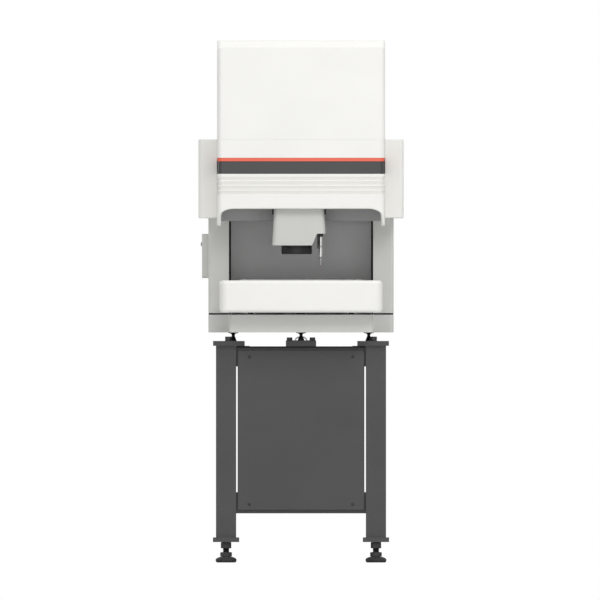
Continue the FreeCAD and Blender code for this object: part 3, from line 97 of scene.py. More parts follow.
class Finish:  # the nodes of one material, or of the world
    def __init__(self, holder):
        self.holder = holder
        holder.use_nodes = True
        self.tree = holder.node_tree
        self.tree.nodes.clear()

    def node(self, kind, settings=None, values=None, out=0):
        made = self.tree.nodes.new(kind)
        for key, value in (settings or {}).items():
            setattr(made, key, value)
        for key, value in (values or {}).items():
            if isinstance(value, Wire):
                self.tree.links.new(value.socket, made.inputs[key])
            else:
                made.inputs[key].default_value = value
        return Wire(self, made.outputs[out]) if made.outputs else made

    def noise(self, scale, detail=2.0, stretch=(1.0, 1.0, 1.0)):  # grey clouds in metres of the object
        spot = self.node("ShaderNodeTexCoord", out="Object")
        spot = self.node("ShaderNodeMapping", values={"Vector": spot, "Scale": stretch})
        return self.node("ShaderNodeTexNoise", values={"Vector": spot, "Scale": scale, "Detail": detail})

    def band(self, value, low, high):  # 0 under low, 1 over high
        return self.node("ShaderNodeMapRange", {"clamp": True},
                         {"Value": value, "From Min": low, "From Max": high})

    def mix(self, factor, first, second):
        return self.node("ShaderNodeMix", {"data_type": "RGBA"}, {0: factor, 6: first, 7: second}, out=2)

    def facingUp(self):  # 1 on faces that look up
        normal = self.node("ShaderNodeNewGeometry", out="Normal")
        return self.band(self.node("ShaderNodeSeparateXYZ", values={0: normal}, out="Z"), 0.75, 0.98)

    def bump(self, height, depth, strength=1.0):
        return self.node("ShaderNodeBump",
                         values={"Height": height, "Distance": depth, "Strength": strength})

    def done(self, values):
        shader = self.node("ShaderNodeBsdfPrincipled", values=values)
        self.node("ShaderNodeOutputMaterial", values={"Surface": shader})
        return self.holder


def solid(colour, share=1.0):
    return tuple(min(part * share, 1.0) for part in colour) + (1.0,)


def coating(name, colour, rough, grain=900.0, depth=0.00006, cloud=0.03, dust=0.06, specular=0.5):
    # paint or moulding: slow clouds of tone, a fine skin, and dust on what looks up
    finish = Finish(bpy.data.materials.new(name))
    clouds = finish.band(finish.noise(4.0, 3.0), 0.35, 0.65)
    skin = finish.noise(grain, 2.0)
    base = finish.mix(clouds, solid(colour, 1 - cloud), solid(colour, 1 + cloud / 2))
    settled = finish.facingUp() * finish.band(finish.noise(60.0, 4.0), 0.3, 0.75) * dust
    base = finish.mix(settled, base, (0.62, 0.61, 0.58, 1.0))
    wiped = finish.noise(9.0, 4.0, (1.0, 1.0, 3.0))
    return finish.done({"Base Color": base, "Roughness": wiped * 0.12 + skin * 0.08 + (rough - 0.1),
                        "Normal": finish.bump(skin, depth), "Specular IOR Level": specular})


def brushed(name, colour, rough, stretch, depth=0.00001, streak=0.12):
    # metal: fine lines along one axis, and cloudy handling marks
    finish = Finish(bpy.data.materials.new(name))
    lines = finish.noise(700.0, 3.0, stretch)
    marks = finish.band(finish.noise(14.0, 4.0), 0.42, 0.7)
    base = finish.mix(lines, solid(colour, 1 - streak), solid(colour, 1 + streak / 2))
    base = finish.mix(marks * 0.12, base, solid(colour, 0.72))
    return finish.done({"Base Color": base, "Metallic": 1.0, "Normal": finish.bump(lines, depth),
                        "Roughness": lines * 0.16 + marks * 0.06 + (rough - 0.1)})


def clear(name, colour, rough):
    # glass with a few faint smears
    finish = Finish(bpy.data.materials.new(name))
    smears = finish.band(finish.noise(20.0, 5.0, (1.0, 3.0, 1.0)), 0.5, 0.8)
    return finish.done({"Base Color": solid(colour), "Roughness": smears * 0.06 + rough,
                        "Transmission Weight": 1.0, "IOR": 1.5})


finishes = {
    "cover_white": coating("coverWhite", (0.905, 0.9, 0.865), 0.48, cloud=0.02, dust=0.03),
    "bed_paint": coating("castingGrey", (0.67, 0.67, 0.64), 0.5, 500.0, 0.00012, 0.03),
    "panel_grey": coating("panelGrey", (0.42, 0.42, 0.423), 0.55, cloud=0.05),
    "trim_dark": coating("bandGrey", (0.042, 0.042, 0.044), 0.42, cloud=0.04),
    "trim_red": coating("stripeRed", (0.84, 0.135, 0.075), 0.4, cloud=0.03),
    "rear_paint": coating("rearWhite", (0.8, 0.8, 0.775), 0.5, cloud=0.03),
    "stand_paint": coating("powderBlack", (0.066, 0.066, 0.067), 0.58, 650.0, 0.00016, 0.06, 0.05, 0.4),
    "unit_paint": coating("unitGrey", (0.42, 0.42, 0.405), 0.55, 600.0, 0.0001, 0.04),
    "foot_rubber": coating("footBlack", (0.022, 0.022, 0.022), 0.72, 400.0, 0.0002, 0.1, 0.1),
    "inlet_black": coating("socketBlack", (0.018, 0.018, 0.018), 0.5, cloud=0.1),
    "drive_black": coating("motorBlack", (0.035, 0.035, 0.037), 0.45, cloud=0.08),
    "light_panel": coating("opalWhite", (0.9, 0.9, 0.88), 0.35, depth=0.00002),
    "head_grey": coating("headGrey", (0.62, 0.62, 0.59), 0.48, cloud=0.025),
    "switch_paint": coating("boxGrey", (0.63, 0.63, 0.605), 0.5, cloud=0.03),
    "button_grey": coating("buttonGrey", (0.42, 0.42, 0.4), 0.4),
    "optics_black": coating("opticsBlack", (0.022, 0.022, 0.022), 0.45, 1500.0, 0.00003, 0.08, 0.06, 0.25),
    "frame_dark": brushed("frameAnodised", (0.1, 0.1, 0.098), 0.46, (1.0, 0.03, 1.0)),
    "slide_dark": coating("slideDark", (0.05, 0.05, 0.052), 0.5, 500.0, 0.0001, 0.06),
    "table_metal": brushed("tableAnodised", (0.36, 0.36, 0.36), 0.42, (0.04, 1.0, 1.0)),
    "guide_steel": brushed("groundSteel", (0.58, 0.58, 0.57), 0.3, (1.0, 1.0, 0.05)),
    "screw_steel": brushed("screwSteel", (0.62, 0.62, 0.61), 0.25, (1.0, 1.0, 1.0)),
    "dark_steel": brushed("blackenedSteel", (0.045, 0.045, 0.045), 0.42, (1.0, 1.0, 0.1), streak=0.3),
    "probe_silver": brushed("probeSilver", (0.5, 0.5, 0.49), 0.34, (1.0, 1.0, 0.06)),
    "stylus_steel": brushed("stylusSteel", (0.5, 0.5, 0.49), 0.3, (1.0, 1.0, 0.1)),
    "stage_pane": clear("stageGlass", (0.93, 0.97, 0.95), 0.02),
}
# The rear panel takes a paler copy of the panel grey: painted light, standing in for the light that its deep
# recess does not get
litPanelCopy = {"rear_panel": coating("backPanelLitCopy", (0.76, 0.76, 0.765), 0.55, cloud=0.04)}
for part in frame["record"]["subparts"]:
    for holder in frame["nodes"][part["node"]].material_slots:
        holder.material = litPanelCopy.get(part["node"], finishes[part["material_slot"]])
# black of the strips that paint the shade in gaps (painted shade), and of the guide caps
gapShadeBlack = coating("gapShadeBlack", (0.02, 0.02, 0.02), 0.7, 400.0, 0.0001, 0.1, 0.1, 0.3)
screwBlack = coating("screwBlack", (0.03, 0.03, 0.03), 0.5, depth=0.0, specular=0.4)
ruby = coating("rubyRed", (0.5, 0.01, 0.02), 0.12, depth=0.0, dust=0.0)
lensGlass = clear("lensCoated", (0.72, 0.66, 0.9), 0.03)
wireSteel = brushed("wireSteel", (0.75, 0.75, 0.75), 0.3, (1.0, 1.0, 0.2))
ledGlow = coating("ledCream", (0.95, 0.93, 0.82), 0.25, depth=0.0, dust=0.0)
print("materials ready:", len(bpy.data.materials))


# Mesh making
class Shape:  # gathers the grids and caps of one piece
    def __init__(self):
        self.points = []
        self.faces = []
        self.count = 0

    def grid(self, points, wrapRows=False, wrapColumns=True):  # quads between neighbouring points
        rows, columns = points.shape[:2]
        number = self.count + np.arange(rows * columns).reshape(rows, columns)
        if wrapRows:
            number = np.vstack([number, number[:1]])
        if wrapColumns:
            number = np.hstack([number, number[:, :1]])
        corners = [number[:-1, :-1], number[:-1, 1:], number[1:, 1:], number[1:, :-1]]
        self.faces += np.stack(corners, -1).reshape(-1, 4).tolist()
        self.points.append(points.reshape(-1, 3))
        self.count += rows * columns

    def cap(self, ring):  # one flat face across a ring of points
        self.faces.append(list(range(self.count, self.count + len(ring))))
        self.points.append(ring)
        self.count += len(ring)

    def closed(self, points):  # a grid with a flat face over its first and last rows
        self.grid(points)
        self.cap(points[0])
        self.cap(points[-1])


def makePiece(name, shape, material, body, replaced=(), sharp=38.0):
    mesh = bpy.data.meshes.new(name)
    mesh.from_pydata(np.concatenate(shape.points), [], shape.faces)
    work = bmesh.new()
    work.from_mesh(mesh)
    bmesh.ops.remove_doubles(work, verts=work.verts, dist=1e-6)
    bmesh.ops.recalc_face_normals(work, faces=work.faces)
    work.to_mesh(mesh)
    work.free()
    mesh.shade_smooth()
    mesh.set_sharp_from_angle(angle=math.radians(sharp))
    mesh.materials.append(material)
    piece = bpy.data.objects.new(name, mesh)
    bpy.context.scene.collection.objects.link(piece)
    weigh = piece.modifiers.new("evenNormals", "WEIGHTED_NORMAL")
    weigh.keep_sharp = True
    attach(piece, body)
    if replaced:
        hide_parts(*replaced)
    return piece


def nodeBox(node):  # lowest and highest corner of a CAD node, as arrays
    low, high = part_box(node)
    return np.array(low), np.array(high)


def roundRings(low, high, radii, steps=8):
    # rows of rectangles with round corners: each corner's middle plus its radius times (cos, sin).
    # low and high hold one pair for every row, radii one or four numbers for every row
    low = np.asarray(low)
    high = np.asarray(high)
    radii = np.broadcast_to(np.asarray(radii, float), (len(low), 4))[:, :, None]
    right = np.array([True, False, False, True])[None, :, None]
    far = np.array([True, True, False, False])[None, :, None]
    turn = ((np.arange(4)[:, None] + np.linspace(0, 1, steps + 1)) * quarter)[None]
    middleX = np.where(right, high[:, 0, None, None] - radii, low[:, 0, None, None] + radii)
    middleY = np.where(far, high[:, 1, None, None] - radii, low[:, 1, None, None] + radii)
    across = (middleX + radii * np.cos(turn)).reshape(len(low), -1)
    along = (middleY + radii * np.sin(turn)).reshape(len(low), -1)
    return across, along


def soften(points, radii, steps=4):
    # closed outline whose corners are rounded: a corner P between A and B becomes the curve
    # (1-t)^2 S + 2t(1-t) P + t^2 E, where S and E lie the radius away from P towards A and B
    points = np.asarray(points, float)
    radii = np.broadcast_to(np.asarray(radii, float), len(points))[:, None]
    before = np.roll(points, 1, 0) - points
    after = np.roll(points, -1, 0) - points
    start = points + before / np.linalg.norm(before, axis=1, keepdims=True) * radii
    end = points + after / np.linalg.norm(after, axis=1, keepdims=True) * radii
    t = np.linspace(0, 1, steps + 1)[None, :, None]
    curve = (1 - t) ** 2 * start[:, None] + 2 * t * (1 - t) * points[:, None] + t ** 2 * end[:, None]
    return curve.reshape(-1, 2)


def turnedGrid(profile, centre, steps=48, axis="z"):
    # a profile of radius and height carried round an axis: (r cos a, r sin a, height)
    radius, height = np.asarray(profile, float).T
    angle = np.linspace(0, 2 * math.pi, steps, endpoint=False)[None]
    first = radius[:, None] * np.cos(angle)
    second = radius[:, None] * np.sin(angle)
    along = np.broadcast_to(height[:, None], first.shape)
    order = {"z": (first, second, along), "x": (along, first, second), "y": (second, along, first)}[axis]
    return np.stack(order, -1) + np.asarray(centre)


def turnedShape(profile, radii, centre, steps=48, axis="z", shape=None):
    # a half section from axis to axis, with softened corners; its two ends on the axis are closed
    section = soften(profile, radii)
    section[:, 0] = np.maximum(section[:, 0], 0.0)
    shape = shape or Shape()
    shape.grid(turnedGrid(section, centre, steps, axis), wrapRows=True)
    return shape


def threadedGrid(radius, depth, pitch, low, high, centre, steps=20, turns=8, axis="z"):
    # a screw thread: the radius falls by the depth times |2 frac(height / pitch - angle / 2 pi) - 1|,
    # and the first and last half pitch run out to the root
    rows = int((high - low) / pitch * turns)
    height = np.linspace(low, high, rows)[:, None]
    angle = np.linspace(0, 2 * math.pi, steps, endpoint=False)[None]
    wave = np.abs(2 * np.mod(height / pitch - angle / (2 * math.pi), 1.0) - 1)
    fade = np.clip(np.minimum(height - low, high - height) / pitch, 0, 1)
    reach = radius - depth * (1 - (1 - wave) * fade)
    along = np.broadcast_to(height, reach.shape)
    first = reach * np.cos(angle)
    second = reach * np.sin(angle)
    order = {"z": (first, second, along), "x": (along, first, second), "y": (second, along, first)}[axis]
    return np.stack(order, -1) + np.asarray(centre)


def hexGrid(across, low, high, centre, bevel, bore=0.0, steps=96, axis="z"):
    # a chamfered nut: at each angle the smaller of the hexagon's reach and a cone's radius
    angle = np.linspace(0, 2 * math.pi, steps, endpoint=False)[None]
    flat = across / 2 / np.cos(np.mod(angle, math.pi / 3) - math.pi / 6)
    drop = np.array([bevel, bevel * 0.6, bevel * 0.3, 0.0, 0.0, bevel * 0.3, bevel * 0.6, bevel])
    height = np.concatenate([low + (bevel - drop[:4]) * 0.55, high - (bevel - drop[4:]) * 0.55])
    cone = across / math.sqrt(3) - drop[:, None] * 1.25
    reach = np.minimum(flat, cone)
    along = height[:, None]
    if bore:
        reach = np.vstack([np.full_like(reach[:1], bore), reach, np.full_like(reach[:1], bore)])
        along = np.concatenate([[low], height, [high]])[:, None]
    along = np.broadcast_to(along, reach.shape)
    first = reach * np.cos(angle)
    second = reach * np.sin(angle)
    order = {"z": (first, second, along), "x": (along, first, second), "y": (second, along, first)}[axis]
    return np.stack(order, -1) + np.asarray(centre)


# Hood over the cross beam
hood = {"corner": 16 * mm, "wall": 3 * mm, "edge": 1.2 * mm, "foot": 0.3 * mm}
low, high = nodeBox("upper_cover")
rise = soften([(0, low[2]), (0, high[2]), (hood["wall"], high[2]), (hood["wall"], low[2])],
              [hood["foot"], hood["edge"], hood["edge"] / 2, hood["foot"]])
corner = hood["corner"] - rise[:, :1]
x, y = roundRings(low[:2] + rise[:, :1], high[:2] - rise[:, :1], corner, 10)
shape = Shape()
shape.grid(np.stack([x, y, np.broadcast_to(rise[:, 1:], x.shape)], -1), wrapRows=True)
makePiece("upperHood", shape, finishes["cover_white"], "machine", ["upper_cover"])

# Lid of the hood: its front and rear slope up to a flat top
lid = {"slope": 22 * mm, "lip": 1.5 * mm, "edge": 5 * mm, "side": 2.5 * mm, "gap": 0.8 * mm}
low, high = nodeBox("top_cap")
flank = np.array([(0.0, low[2] + lid["gap"]), (0.0, low[2] + lid["gap"] + lid["lip"])])
t = np.linspace(0, 1, 9)
lean = lid["slope"] - lid["edge"]
sloped = np.stack([lean * t, flank[1, 1] + (high[2] - lid["side"] - flank[1, 1]) * t], -1)
tip = np.linspace(0, quarter, 7)
bend = np.stack([lean + lid["edge"] * np.sin(tip), high[2] - lid["side"] * (1 - np.sin(tip))], -1)
profile = np.concatenate([flank[:1] + [lid["gap"], 0], flank, sloped[1:], bend[1:]])
sideIn = np.interp(np.arange(len(profile)), [0, 1, len(profile) - 7, len(profile) - 1],
                   [lid["gap"], 0, 0, lid["side"]])
inset = np.stack([sideIn, profile[:, 0]], -1)
radii = np.maximum(hood["corner"] - sideIn, 1 * mm)
x, y = roundRings(low[:2] + inset, high[:2] - inset, radii[:, None], 10)
shape = Shape()
shape.closed(np.stack([x, y, np.broadcast_to(profile[:, 1:], x.shape)], -1))
makePiece("hoodLid", shape, finishes["cover_white"], "machine", ["top_cap"])

# Moulded front: flat band, louvres that wrap the corners, and the arched visor
fascia = {"corner": 16 * mm, "front": 9 * mm, "side": 7.6 * mm, "archTop": 1049.5 * mm,
          "archWide": 42 * mm, "archTall": 25 * mm, "visorTop": 1092.6 * mm, "ribs": 4,
          "pitch": 13.7 * mm, "proud": 6 * mm, "nose": 3.2 * mm, "brow": 1 * mm, "chin": 0.5 * mm,
          "lip": 7.5 * mm, "edge": 1.2 * mm, "seam": 0.2 * mm, "shelf": 0.1 * mm, "endWall": 2 * mm}
low, high = nodeBox("front_fascia")
half = high[0]
rear = high[1]
front = low[1]
bandLow = nodeBox("dark_band")[0][2]
bandHigh = nodeBox("red_stripe")[1][2]


def frontPath():
    # the outline of the front from its left rear end round both corners to the right rear end:
    # points and outward directions, with extra stations where the arch comes down
    radius = fascia["corner"]
    turn = np.linspace(0, quarter, 11)
    sideY = np.array([rear, rear - fascia["endWall"], (rear + front + radius) / 2])
    inner = half - fascia["side"] - fascia["archWide"]
    acrossX = np.concatenate([np.linspace(0, inner, 5), np.linspace(inner, half - radius, 9)[1:]])
    leftArc = np.stack([-half + radius - radius * np.cos(turn), front + radius - radius * np.sin(turn)], -1)
    leftWay = np.stack([-np.cos(turn), -np.sin(turn)], -1)
    leftSide = np.stack([np.full(3, -half), sideY], -1)
    frontX = np.concatenate([-acrossX[::-1][1:], acrossX[1:-1]])
    flat = np.stack([frontX, np.full(len(frontX), front)], -1)
    spots = np.concatenate([leftSide, leftArc, flat, leftArc[::-1] * [-1, 1], leftSide[::-1] * [-1, 1]])
    ways = np.concatenate([np.tile([-1.0, 0], (3, 1)), leftWay, np.tile([0, -1.0], (len(flat), 1)),
                           leftWay[::-1] * [-1, 1], np.tile([1.0, 0], (3, 1))])
    return spots, ways


def archHeight(x, y):
    # the visor's lower edge: level, then a quarter of an ellipse, then straight down at the side walls
    past = (np.abs(x) - (half - fascia["side"] - fascia["archWide"])) / fascia["archWide"]
    edge = fascia["archTop"] - fascia["archTall"] * (1 - np.sqrt(1 - np.clip(past, 0, 1) ** 2))
    return np.where(past >= 1, low[2], edge)


def carryRound(profile, thinner=1.0, ended=False):
    # a closed profile of inset and height carried along the front's path: a point is the path's point
    # less its outward direction times the inset; deep insets shrink to the thinner share at the sides,
    # and when ended the louvres' insets are nought at both rear ends, which closes them there
    spots, ways = frontPath()
    share = 1 - (1 - thinner) * np.abs(ways[None, :, 0])
    deep = profile[:, :1] > fascia["proud"] * 1.1
    inset = np.where(deep, profile[:, :1] * share, profile[:, :1])
    if ended:
        last = np.arange(len(spots)) % (len(spots) - 1) == 0
        louvres = profile[:, 1:] < bandLow - fascia["shelf"]
        inset = np.where(last[None] & louvres & ~deep, 0.0, inset)
    x = spots[None, :, 0] - ways[None, :, 0] * inset
    y = spots[None, :, 1] - ways[None, :, 1] * inset
    return x, y, np.broadcast_to(profile[:, 1:], x.shape), spots


wall = fascia["front"]
edge = fascia["edge"]
proud = fascia["proud"]
outline = [(0, low[2], fascia["lip"]), (0, fascia["visorTop"], edge)]
for row in range(fascia["ribs"]):  # each louvre leans forward as it rises, and ends in an upright nose
    sill = fascia["visorTop"] + fascia["pitch"] * row
    top = sill + fascia["pitch"]
    under = top - fascia["nose"]
    outline += [(proud - fascia["shelf"], sill + 2 * fascia["shelf"], edge / 8),
                (fascia["brow"], under, edge / 4), (0, under + fascia["chin"], edge / 4), (0, top, edge / 2)]
outline[-1] = (0, bandLow, edge / 2)
outline += [(proud, bandLow, edge / 4)]
outline += [(proud, bandHigh, edge / 4), (0, bandHigh, edge / 2), (0, high[2] - fascia["seam"], edge / 4),
            (wall, high[2] - fascia["seam"], edge / 2), (wall, low[2], fascia["lip"] / 6)]
outline = np.array(outline)
profile = soften(outline[:, :2], outline[:, 2])
x, y, z, spots = carryRound(profile, fascia["side"] / fascia["front"], True)
bottom = archHeight(spots[:, 0], spots[:, 1])[None]
visorTop = fascia["visorTop"]
z = np.where(z < visorTop, bottom + (z - low[2]) * (visorTop - bottom) / (visorTop - low[2]), z)
shape = Shape()
points = np.stack([x, y, z], -1)
shape.grid(points, wrapRows=True, wrapColumns=False)
shape.cap(points[:, 0])
shape.cap(points[:, -1])
makePiece("frontFascia", shape, finishes["cover_white"], "machine", ["front_fascia"])

# Dark band and red stripe round the front
trims = {"darkBand": ("dark_band", "trim_dark", 3 * mm), "redStripe": ("red_stripe", "trim_red", 1 * mm)}
trimEdge = 0.35 * mm
for name, (node, slot, inset) in trims.items():
    low, high = nodeBox(node)
    section = soften([(inset, low[2]), (inset, high[2]), (proud, high[2]), (proud, low[2])], trimEdge)
    x, y, z, spots = carryRound(section)
    points = np.stack([x, y, z], -1)
    shape = Shape()
    shape.grid(points, wrapRows=True, wrapColumns=False)
    shape.cap(points[:, 0])
    shape.cap(points[:, -1])
    makePiece(name, shape, finishes[slot], "machine", [node])
print("hood and front made")

# Side wings: upright boxes with round outer corners
wing = {"corner": 14 * mm, "inner": 1 * mm, "edge": 4 * mm}
for node in ("wing_left", "wing_right"):
    low, high = nodeBox(node)
    outer = wing["corner"]
    inner = wing["inner"]
    radii = np.array([outer, inner, inner, outer] if node == "wing_right" else [inner, outer, outer, inner])
    tip = np.linspace(0, quarter, 6)
    inset = wing["edge"] * np.concatenate([1 - np.sin(tip), 1 - np.cos(tip)])
    height = np.concatenate([low[2] + wing["edge"] * (1 - np.cos(tip)),
                             high[2] - wing["edge"] * (1 - np.sin(tip))])
    sideways = np.stack([inset, inset], -1)
    outerOnly = np.array([0.0, 1.0]) if node == "wing_right" else np.array([1.0, 0.0])
    lowIn = sideways * [outerOnly[0], 1.0]
    highIn = sideways * [outerOnly[1], 1.0]
    corners = np.maximum(radii[None] - inset[:, None], 0.3 * mm)
    x, y = roundRings(low[:2] + lowIn, high[:2] - highIn, corners, 8)
    shape = Shape()
    shape.closed(np.stack([x, y, np.broadcast_to(height[:, None], x.shape)], -1))
    makePiece("wing" + node[5:].capitalize(), shape, finishes["cover_white"], "machine", [node])


# Deep front of the stage, open at the back and underneath, where it passes over the guides
stageFront = {"corner": 24 * mm, "edge": 10 * mm, "wall": 3 * mm, "lip": 13 * mm, "openRows": 5}
low, high = nodeBox("stage_front_cover")
openRows = stageFront["openRows"]
split = 27  # a ring's first three round corners have nine points each


def stageSkin(wall):
    # upright rings from the rear to the front: towards the front the sides come in along the plan's
    # round corner and the top and bottom along the smaller edge round; two extra points on the lower
    # side of each ring mark the ends of the lip, and row openRows lies where the opening ends
    corner = stageFront["corner"] - wall
    edge = stageFront["edge"] - wall
    mouth = math.asin(1 - (stageFront["lip"] - wall) / corner)
    tip = np.concatenate([np.linspace(0, mouth, openRows), np.linspace(mouth, quarter, 10)[1:]])
    ahead = np.concatenate([[high[1] - low[1] - wall], corner * (1 - np.sin(tip))])
    sideIn = corner - np.sqrt(corner ** 2 - np.clip(corner - ahead, 0, corner) ** 2) + wall
    levelIn = edge - np.sqrt(edge ** 2 - np.clip(edge - ahead, 0, edge) ** 2) + wall
    inset = np.stack([sideIn, levelIn], -1)
    radii = np.maximum(edge - (levelIn - wall) * 0.6, 0.5 * mm)
    x, z = roundRings(low[[0, 2]] + inset, high[[0, 2]] - inset, radii[:, None], 8)
    reach = np.minimum(high[0] - stageFront["lip"], high[0] - sideIn - radii - 1 * mm)[:, None]
    x = np.hstack([x[:, :split], -reach, reach, x[:, split:]])
    z = np.hstack([z[:, :split], z[:, split - 1:split], z[:, split:split + 1], z[:, split:]])
    y = np.broadcast_to((low[1] + wall + ahead)[:, None], x.shape)
    return np.stack([x, y, z], -1)


outerSkin = stageSkin(0.0)
innerSkin = stageSkin(stageFront["wall"])
shape = Shape()
rows, columns = outerSkin.shape[:2]
outside = np.arange(rows * columns).reshape(rows, columns)
inside = outside + rows * columns
shape.points += [outerSkin.reshape(-1, 3), innerSkin.reshape(-1, 3)]
shape.count = 2 * rows * columns
wanted = np.ones((rows - 1, columns), bool)
wanted[:openRows, split] = False  # the opening lies between the two extra points
for number in (outside, inside):
    beside = np.roll(number, -1, 1)
    quads = np.stack([number[:-1], beside[:-1], beside[1:], number[1:]], -1)
    shape.faces += quads[wanted].tolist()
rim = np.stack([outside[0], np.roll(outside[0], -1), np.roll(inside[0], -1), inside[0]], -1)
shape.faces += np.delete(rim, split, 0).tolist()
for column in (split, split + 1):
    outer = outside[:openRows + 1, column]
    inner = inside[:openRows + 1, column]
    shape.faces += np.stack([outer[:-1], outer[1:], inner[1:], inner[:-1]], -1).tolist()
shape.faces.append([int(outside[openRows, split]), int(outside[openRows, split + 1]),
                    int(inside[openRows, split + 1]), int(inside[openRows, split])])
shape.faces += [outside[-1].tolist(), inside[-1].tolist()]
makePiece("stageFront", shape, finishes["cover_white"], "stage", ["stage_front_cover"])
print("wings and stage front made")

# Levelling feet: pad, hexagon collar, threaded stem and lock nut
foot = {"pad": 31 * mm, "padTall": 17 * mm, "rim": 10.5 * mm, "neck": 19 * mm, "socket": 13 * mm,
        "stem": 9.5 * mm, "thread": 0.9 * mm, "pitch": 2.5 * mm, "collar": 30 * mm, "collarTop": 31 * mm,
        "bevel": 2 * mm, "nut": 27 * mm, "nutHole": 9.8 * mm, "sole": 1.6 * mm, "plate": 14.5 * mm}
nutLow, nutHigh = nodeBox("lock_nuts")
nuts = Shape()
for place in ("front_left", "front_right", "rear_left", "rear_right"):
    low, high = nodeBox("pad_" + place)
    centre = np.array([(low[0] + high[0]) / 2, (low[1] + high[1]) / 2, 0.0])
    side = foot["pad"]
    shape = turnedShape([(0, 0), (side - 4.5 * mm, 0), (side - 1.5 * mm, foot["sole"]),
                         (side, foot["sole"] * 3), (side, foot["rim"]), (side - 4 * mm, foot["rim"] + 3 * mm),
                         (foot["neck"], foot["padTall"]), (foot["socket"], foot["padTall"]),
                         (foot["socket"], foot["rim"]), (0, foot["rim"])],
                        np.array([0, 0.8, 1, 1, 1.8, 2, 1.5, 0.4, 0.4, 0]) * mm, centre, 64)
    makePiece("footPad_" + place, shape, finishes["foot_rubber"], "foot_" + place, ["pad_" + place])
    stem = Shape()
    stemTop = nodeBox("stem_" + place)[1][2]
    ball = foot["socket"] - 0.3 * mm
    stem.closed(turnedGrid([(ball * 0.8, 7.2 * mm), (ball, 10 * mm), (ball, foot["padTall"] + 0.3 * mm)],
                           centre, 48))
    stem.closed(hexGrid(foot["collar"], foot["padTall"] + 0.3 * mm, foot["collarTop"], centre, foot["bevel"]))
    stem.closed(threadedGrid(foot["stem"], foot["thread"], foot["pitch"], foot["collarTop"] - 1 * mm,
                             stemTop, centre))
    makePiece("footStem_" + place, stem, finishes["dark_steel"], "stem_" + place, ["stem_" + place])
    nuts.grid(hexGrid(foot["nut"], nutLow[2], nutHigh[2], centre, foot["bevel"], foot["nutHole"]),
              wrapRows=True)
makePiece("lockNuts", nuts, finishes["dark_steel"], "machine", ["lock_nuts"])
print("feet made")

# Screw jacks between stand and bed, and the hexagon screws beside them
jack = {"dish": 14.5 * mm, "dishTall": 7 * mm, "rim": 2 * mm, "neck": 4.5 * mm, "neckTall": 3 * mm,
        "base": 9.8 * mm, "spread": 402 * mm}
jackLow, jackHigh = nodeBox("support_jacks")
standTop = nodeBox("front_legs")[1][2]
blockLow, blockHigh = nodeBox("support_block")
padCentreY = {"front": nodeBox("pad_front_left")[0][1] + foot["pad"],
              "rear": nodeBox("pad_rear_left")[0][1] + foot["pad"]}
jacks = Shape()
for x, y, base in ((-jack["spread"] / 2, padCentreY["rear"], standTop),
                   (jack["spread"] / 2, padCentreY["rear"], standTop),
                   (0.0, padCentreY["front"], blockHigh[2])):
    rise = jackHigh[2]
    neckZ = rise - jack["dishTall"]
    coneZ = neckZ - jack["neckTall"]
    turnedShape([(0, base), (jack["base"], base), (jack["base"], base + 1.5 * mm), (jack["neck"], coneZ),
                 (jack["neck"], neckZ), (jack["neck"] + 2.5 * mm, rise - 3 * mm),
                 (jack["dish"], rise - jack["rim"]), (jack["dish"], rise), (0, rise)],
                np.array([0, 0.4, 0.6, 1, 1, 2.6, 0.3, 0.3, 0]) * mm, (x, y, 0.0), 40, shape=jacks)
makePiece("supportJacks", jacks, finishes["dark_steel"], "machine", ["support_jacks"])
headBolts = {"clamp": (34 * mm, 14.5 * mm, blockHigh[2], 8.6 * mm),
             "stop": (215.6 * mm, 17 * mm, standTop, 13.1 * mm), "bevel": 1.2 * mm, "washer": 1.4 * mm}
bolts = Shape()
for kind in ("clamp", "stop"):
    x, across, base, tall = headBolts[kind]
    for sign in (-1, 1):
        spot = (x * sign, padCentreY["front"], 0.0)
        washer = headBolts["washer"]
        turnedShape([(0, base), (across * 0.62, base), (across * 0.62, base + washer), (0, base + washer)],
                    np.array([0, 0.2, 0.2, 0]) * mm, spot, 40, shape=bolts)
        bolts.closed(hexGrid(across, base + washer, base + tall, spot, headBolts["bevel"]))
makePiece("supportScrews", bolts, finishes["dark_steel"], "machine", ["support_bolts"])

# Touch probe: silver body, module and stylus with its ruby ball
probe = {"radius": 6.2 * mm, "joint": 939 * mm, "notch": 3 * mm, "neck": 3 * mm, "module": 5.6 * mm,
         "nose": 5 * mm, "steps": 56}
low, high = nodeBox("probe_body")
centre = ((low[0] + high[0]) / 2, (low[1] + high[1]) / 2, 0.0)
radius = probe["radius"]
joint = probe["joint"]
shape = turnedShape([(0, low[2]), (probe["nose"] - 1 * mm, low[2]), (probe["module"], low[2] + probe["nose"]),
                     (probe["module"], joint - probe["notch"]), (probe["neck"], joint - probe["notch"]),
                     (probe["neck"], joint), (radius - 1 * mm, joint), (radius, joint + 1 * mm),
                     (radius, joint + 9 * mm), (radius - 0.5 * mm, joint + 9.4 * mm),
                     (radius - 0.5 * mm, joint + 10.6 * mm), (radius, joint + 11 * mm),
                     (radius, high[2] - 1 * mm), (radius - 1 * mm, high[2]), (0, high[2])],
                    np.array([0, 0.6, 1.5, 0.4, 0.4, 0.4, 0.3, 0.3, 0.2, 0.2, 0.2, 0.2, 0.3, 0.3, 0]) * mm,
                    centre, probe["steps"])
makePiece("touchProbe", shape, finishes["probe_silver"], "head", ["probe_body"])
low, high = nodeBox("stylus")
ball = 1.5 * mm
shaft = 0.75 * mm
ballMiddle = low[2] + ball
shape = turnedShape([(0, ballMiddle), (shaft * 0.8, ballMiddle), (shaft, ballMiddle + 4 * mm),
                     (shaft, high[2] - 2.2 * mm), (1.25 * mm, high[2] - 1.5 * mm),
                     (1.25 * mm, high[2] - 0.6 * mm), (shaft, high[2]), (0, high[2])],
                    np.array([0, 0.1, 0.1, 0.1, 0.2, 0.2, 0.1, 0]) * mm, centre, 24)
makePiece("stylusShaft", shape, finishes["stylus_steel"], "stylus", ["stylus"])
angle = np.linspace(-quarter, quarter, 17)
shape = Shape()
